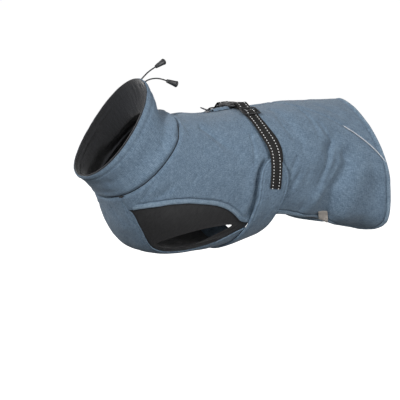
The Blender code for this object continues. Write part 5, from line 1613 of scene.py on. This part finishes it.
panel_rows.append(laid(strap_row, 1, pieces["strap_cloth"]))
# along both sides of the flap
flap_station = np.linspace(FLAP_FRONT + 0.04, FLAP_END - 0.04, 24)
for angle in (-2.55, 3.15):
    panel_rows.append(laid(np.stack([flap_station, np.full(24, angle)], -1), 1, pieces["zip_flap_cloth"]))
sew("stitches_edges", edge_rows, cloth_thread, "softshell_edge")
sew("stitches_panels", panel_rows, cloth_thread, "softshell")
rim_places = (centre + (hole - centre) * 1.1) / scale
rim_rows = [laid(rim_places, side, pieces[f"stretch_insert_{label}"]) for side, label in SIDES]
sew("stitches_inserts", rim_rows, black_thread, "stretch_cloth", (2.0, 0.5, 0.4))


# ------------------------------------------------------------------ seam allowances
# Inside the coat each seam's two raw edges are overlocked together in black thread and pressed flat.
overlock, tree, shader = new_finish("overlock_black", 0.85, sheen=0.1)
loops = waves(tree, coordinates(tree, "UV", (420, 160, 1), 0.2), 0)
colour(tree, shader, loops, (0.0, (0.008, 0.008, 0.01)), (1.0, (0.03, 0.031, 0.036)))
bump(tree, loops, 0.0005, shader)

# their section, and the same under the deeper seam of the collar
ALLOWANCE = ((-5.0, -2.25), (-1.5, -2.2), (1.5, -2.2), (5.0, -2.25), (5.2, -2.7), (1.5, -3.1), (-1.5, -3.1),
             (-5.2, -2.7))
DEEP_ALLOWANCE = ((-5.0, -3.0), (-1.5, -5.0), (1.5, -5.0), (5.0, -3.0), (5.2, -3.6), (1.5, -5.8), (-1.5, -5.8),
                  (-5.2, -3.6))
back_seam = np.stack([np.linspace(1.0, 6.63, 160), np.zeros(160)], -1)
collar_seam = np.stack([np.full(90, 1.0), np.linspace(0, 180, 90)], -1)
seams = [("back_front", 1, back_seam[back_seam[:, 0] < ZIP_FRONT - 0.1], ALLOWANCE),
         ("back_rear", 1, back_seam[back_seam[:, 0] > ZIP_END + 0.1], ALLOWANCE)]
for kind, places, section in (("yoke", yoke_places(), ALLOWANCE), ("collar", collar_seam, DEEP_ALLOWANCE),
                              ("chest", chest_places(1.0, 1.43, 14), ALLOWANCE)):
    seams += [(f"{kind}_{label}", side, places, section) for side, label in SIDES]
for name, side, places, section in seams:
    place_piece(turned_edge(f"allowance_{name}", side, places, section, overlock, 81), "fleece_lining")


# ------------------------------------------------------------------ sizes, and the end
low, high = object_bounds()
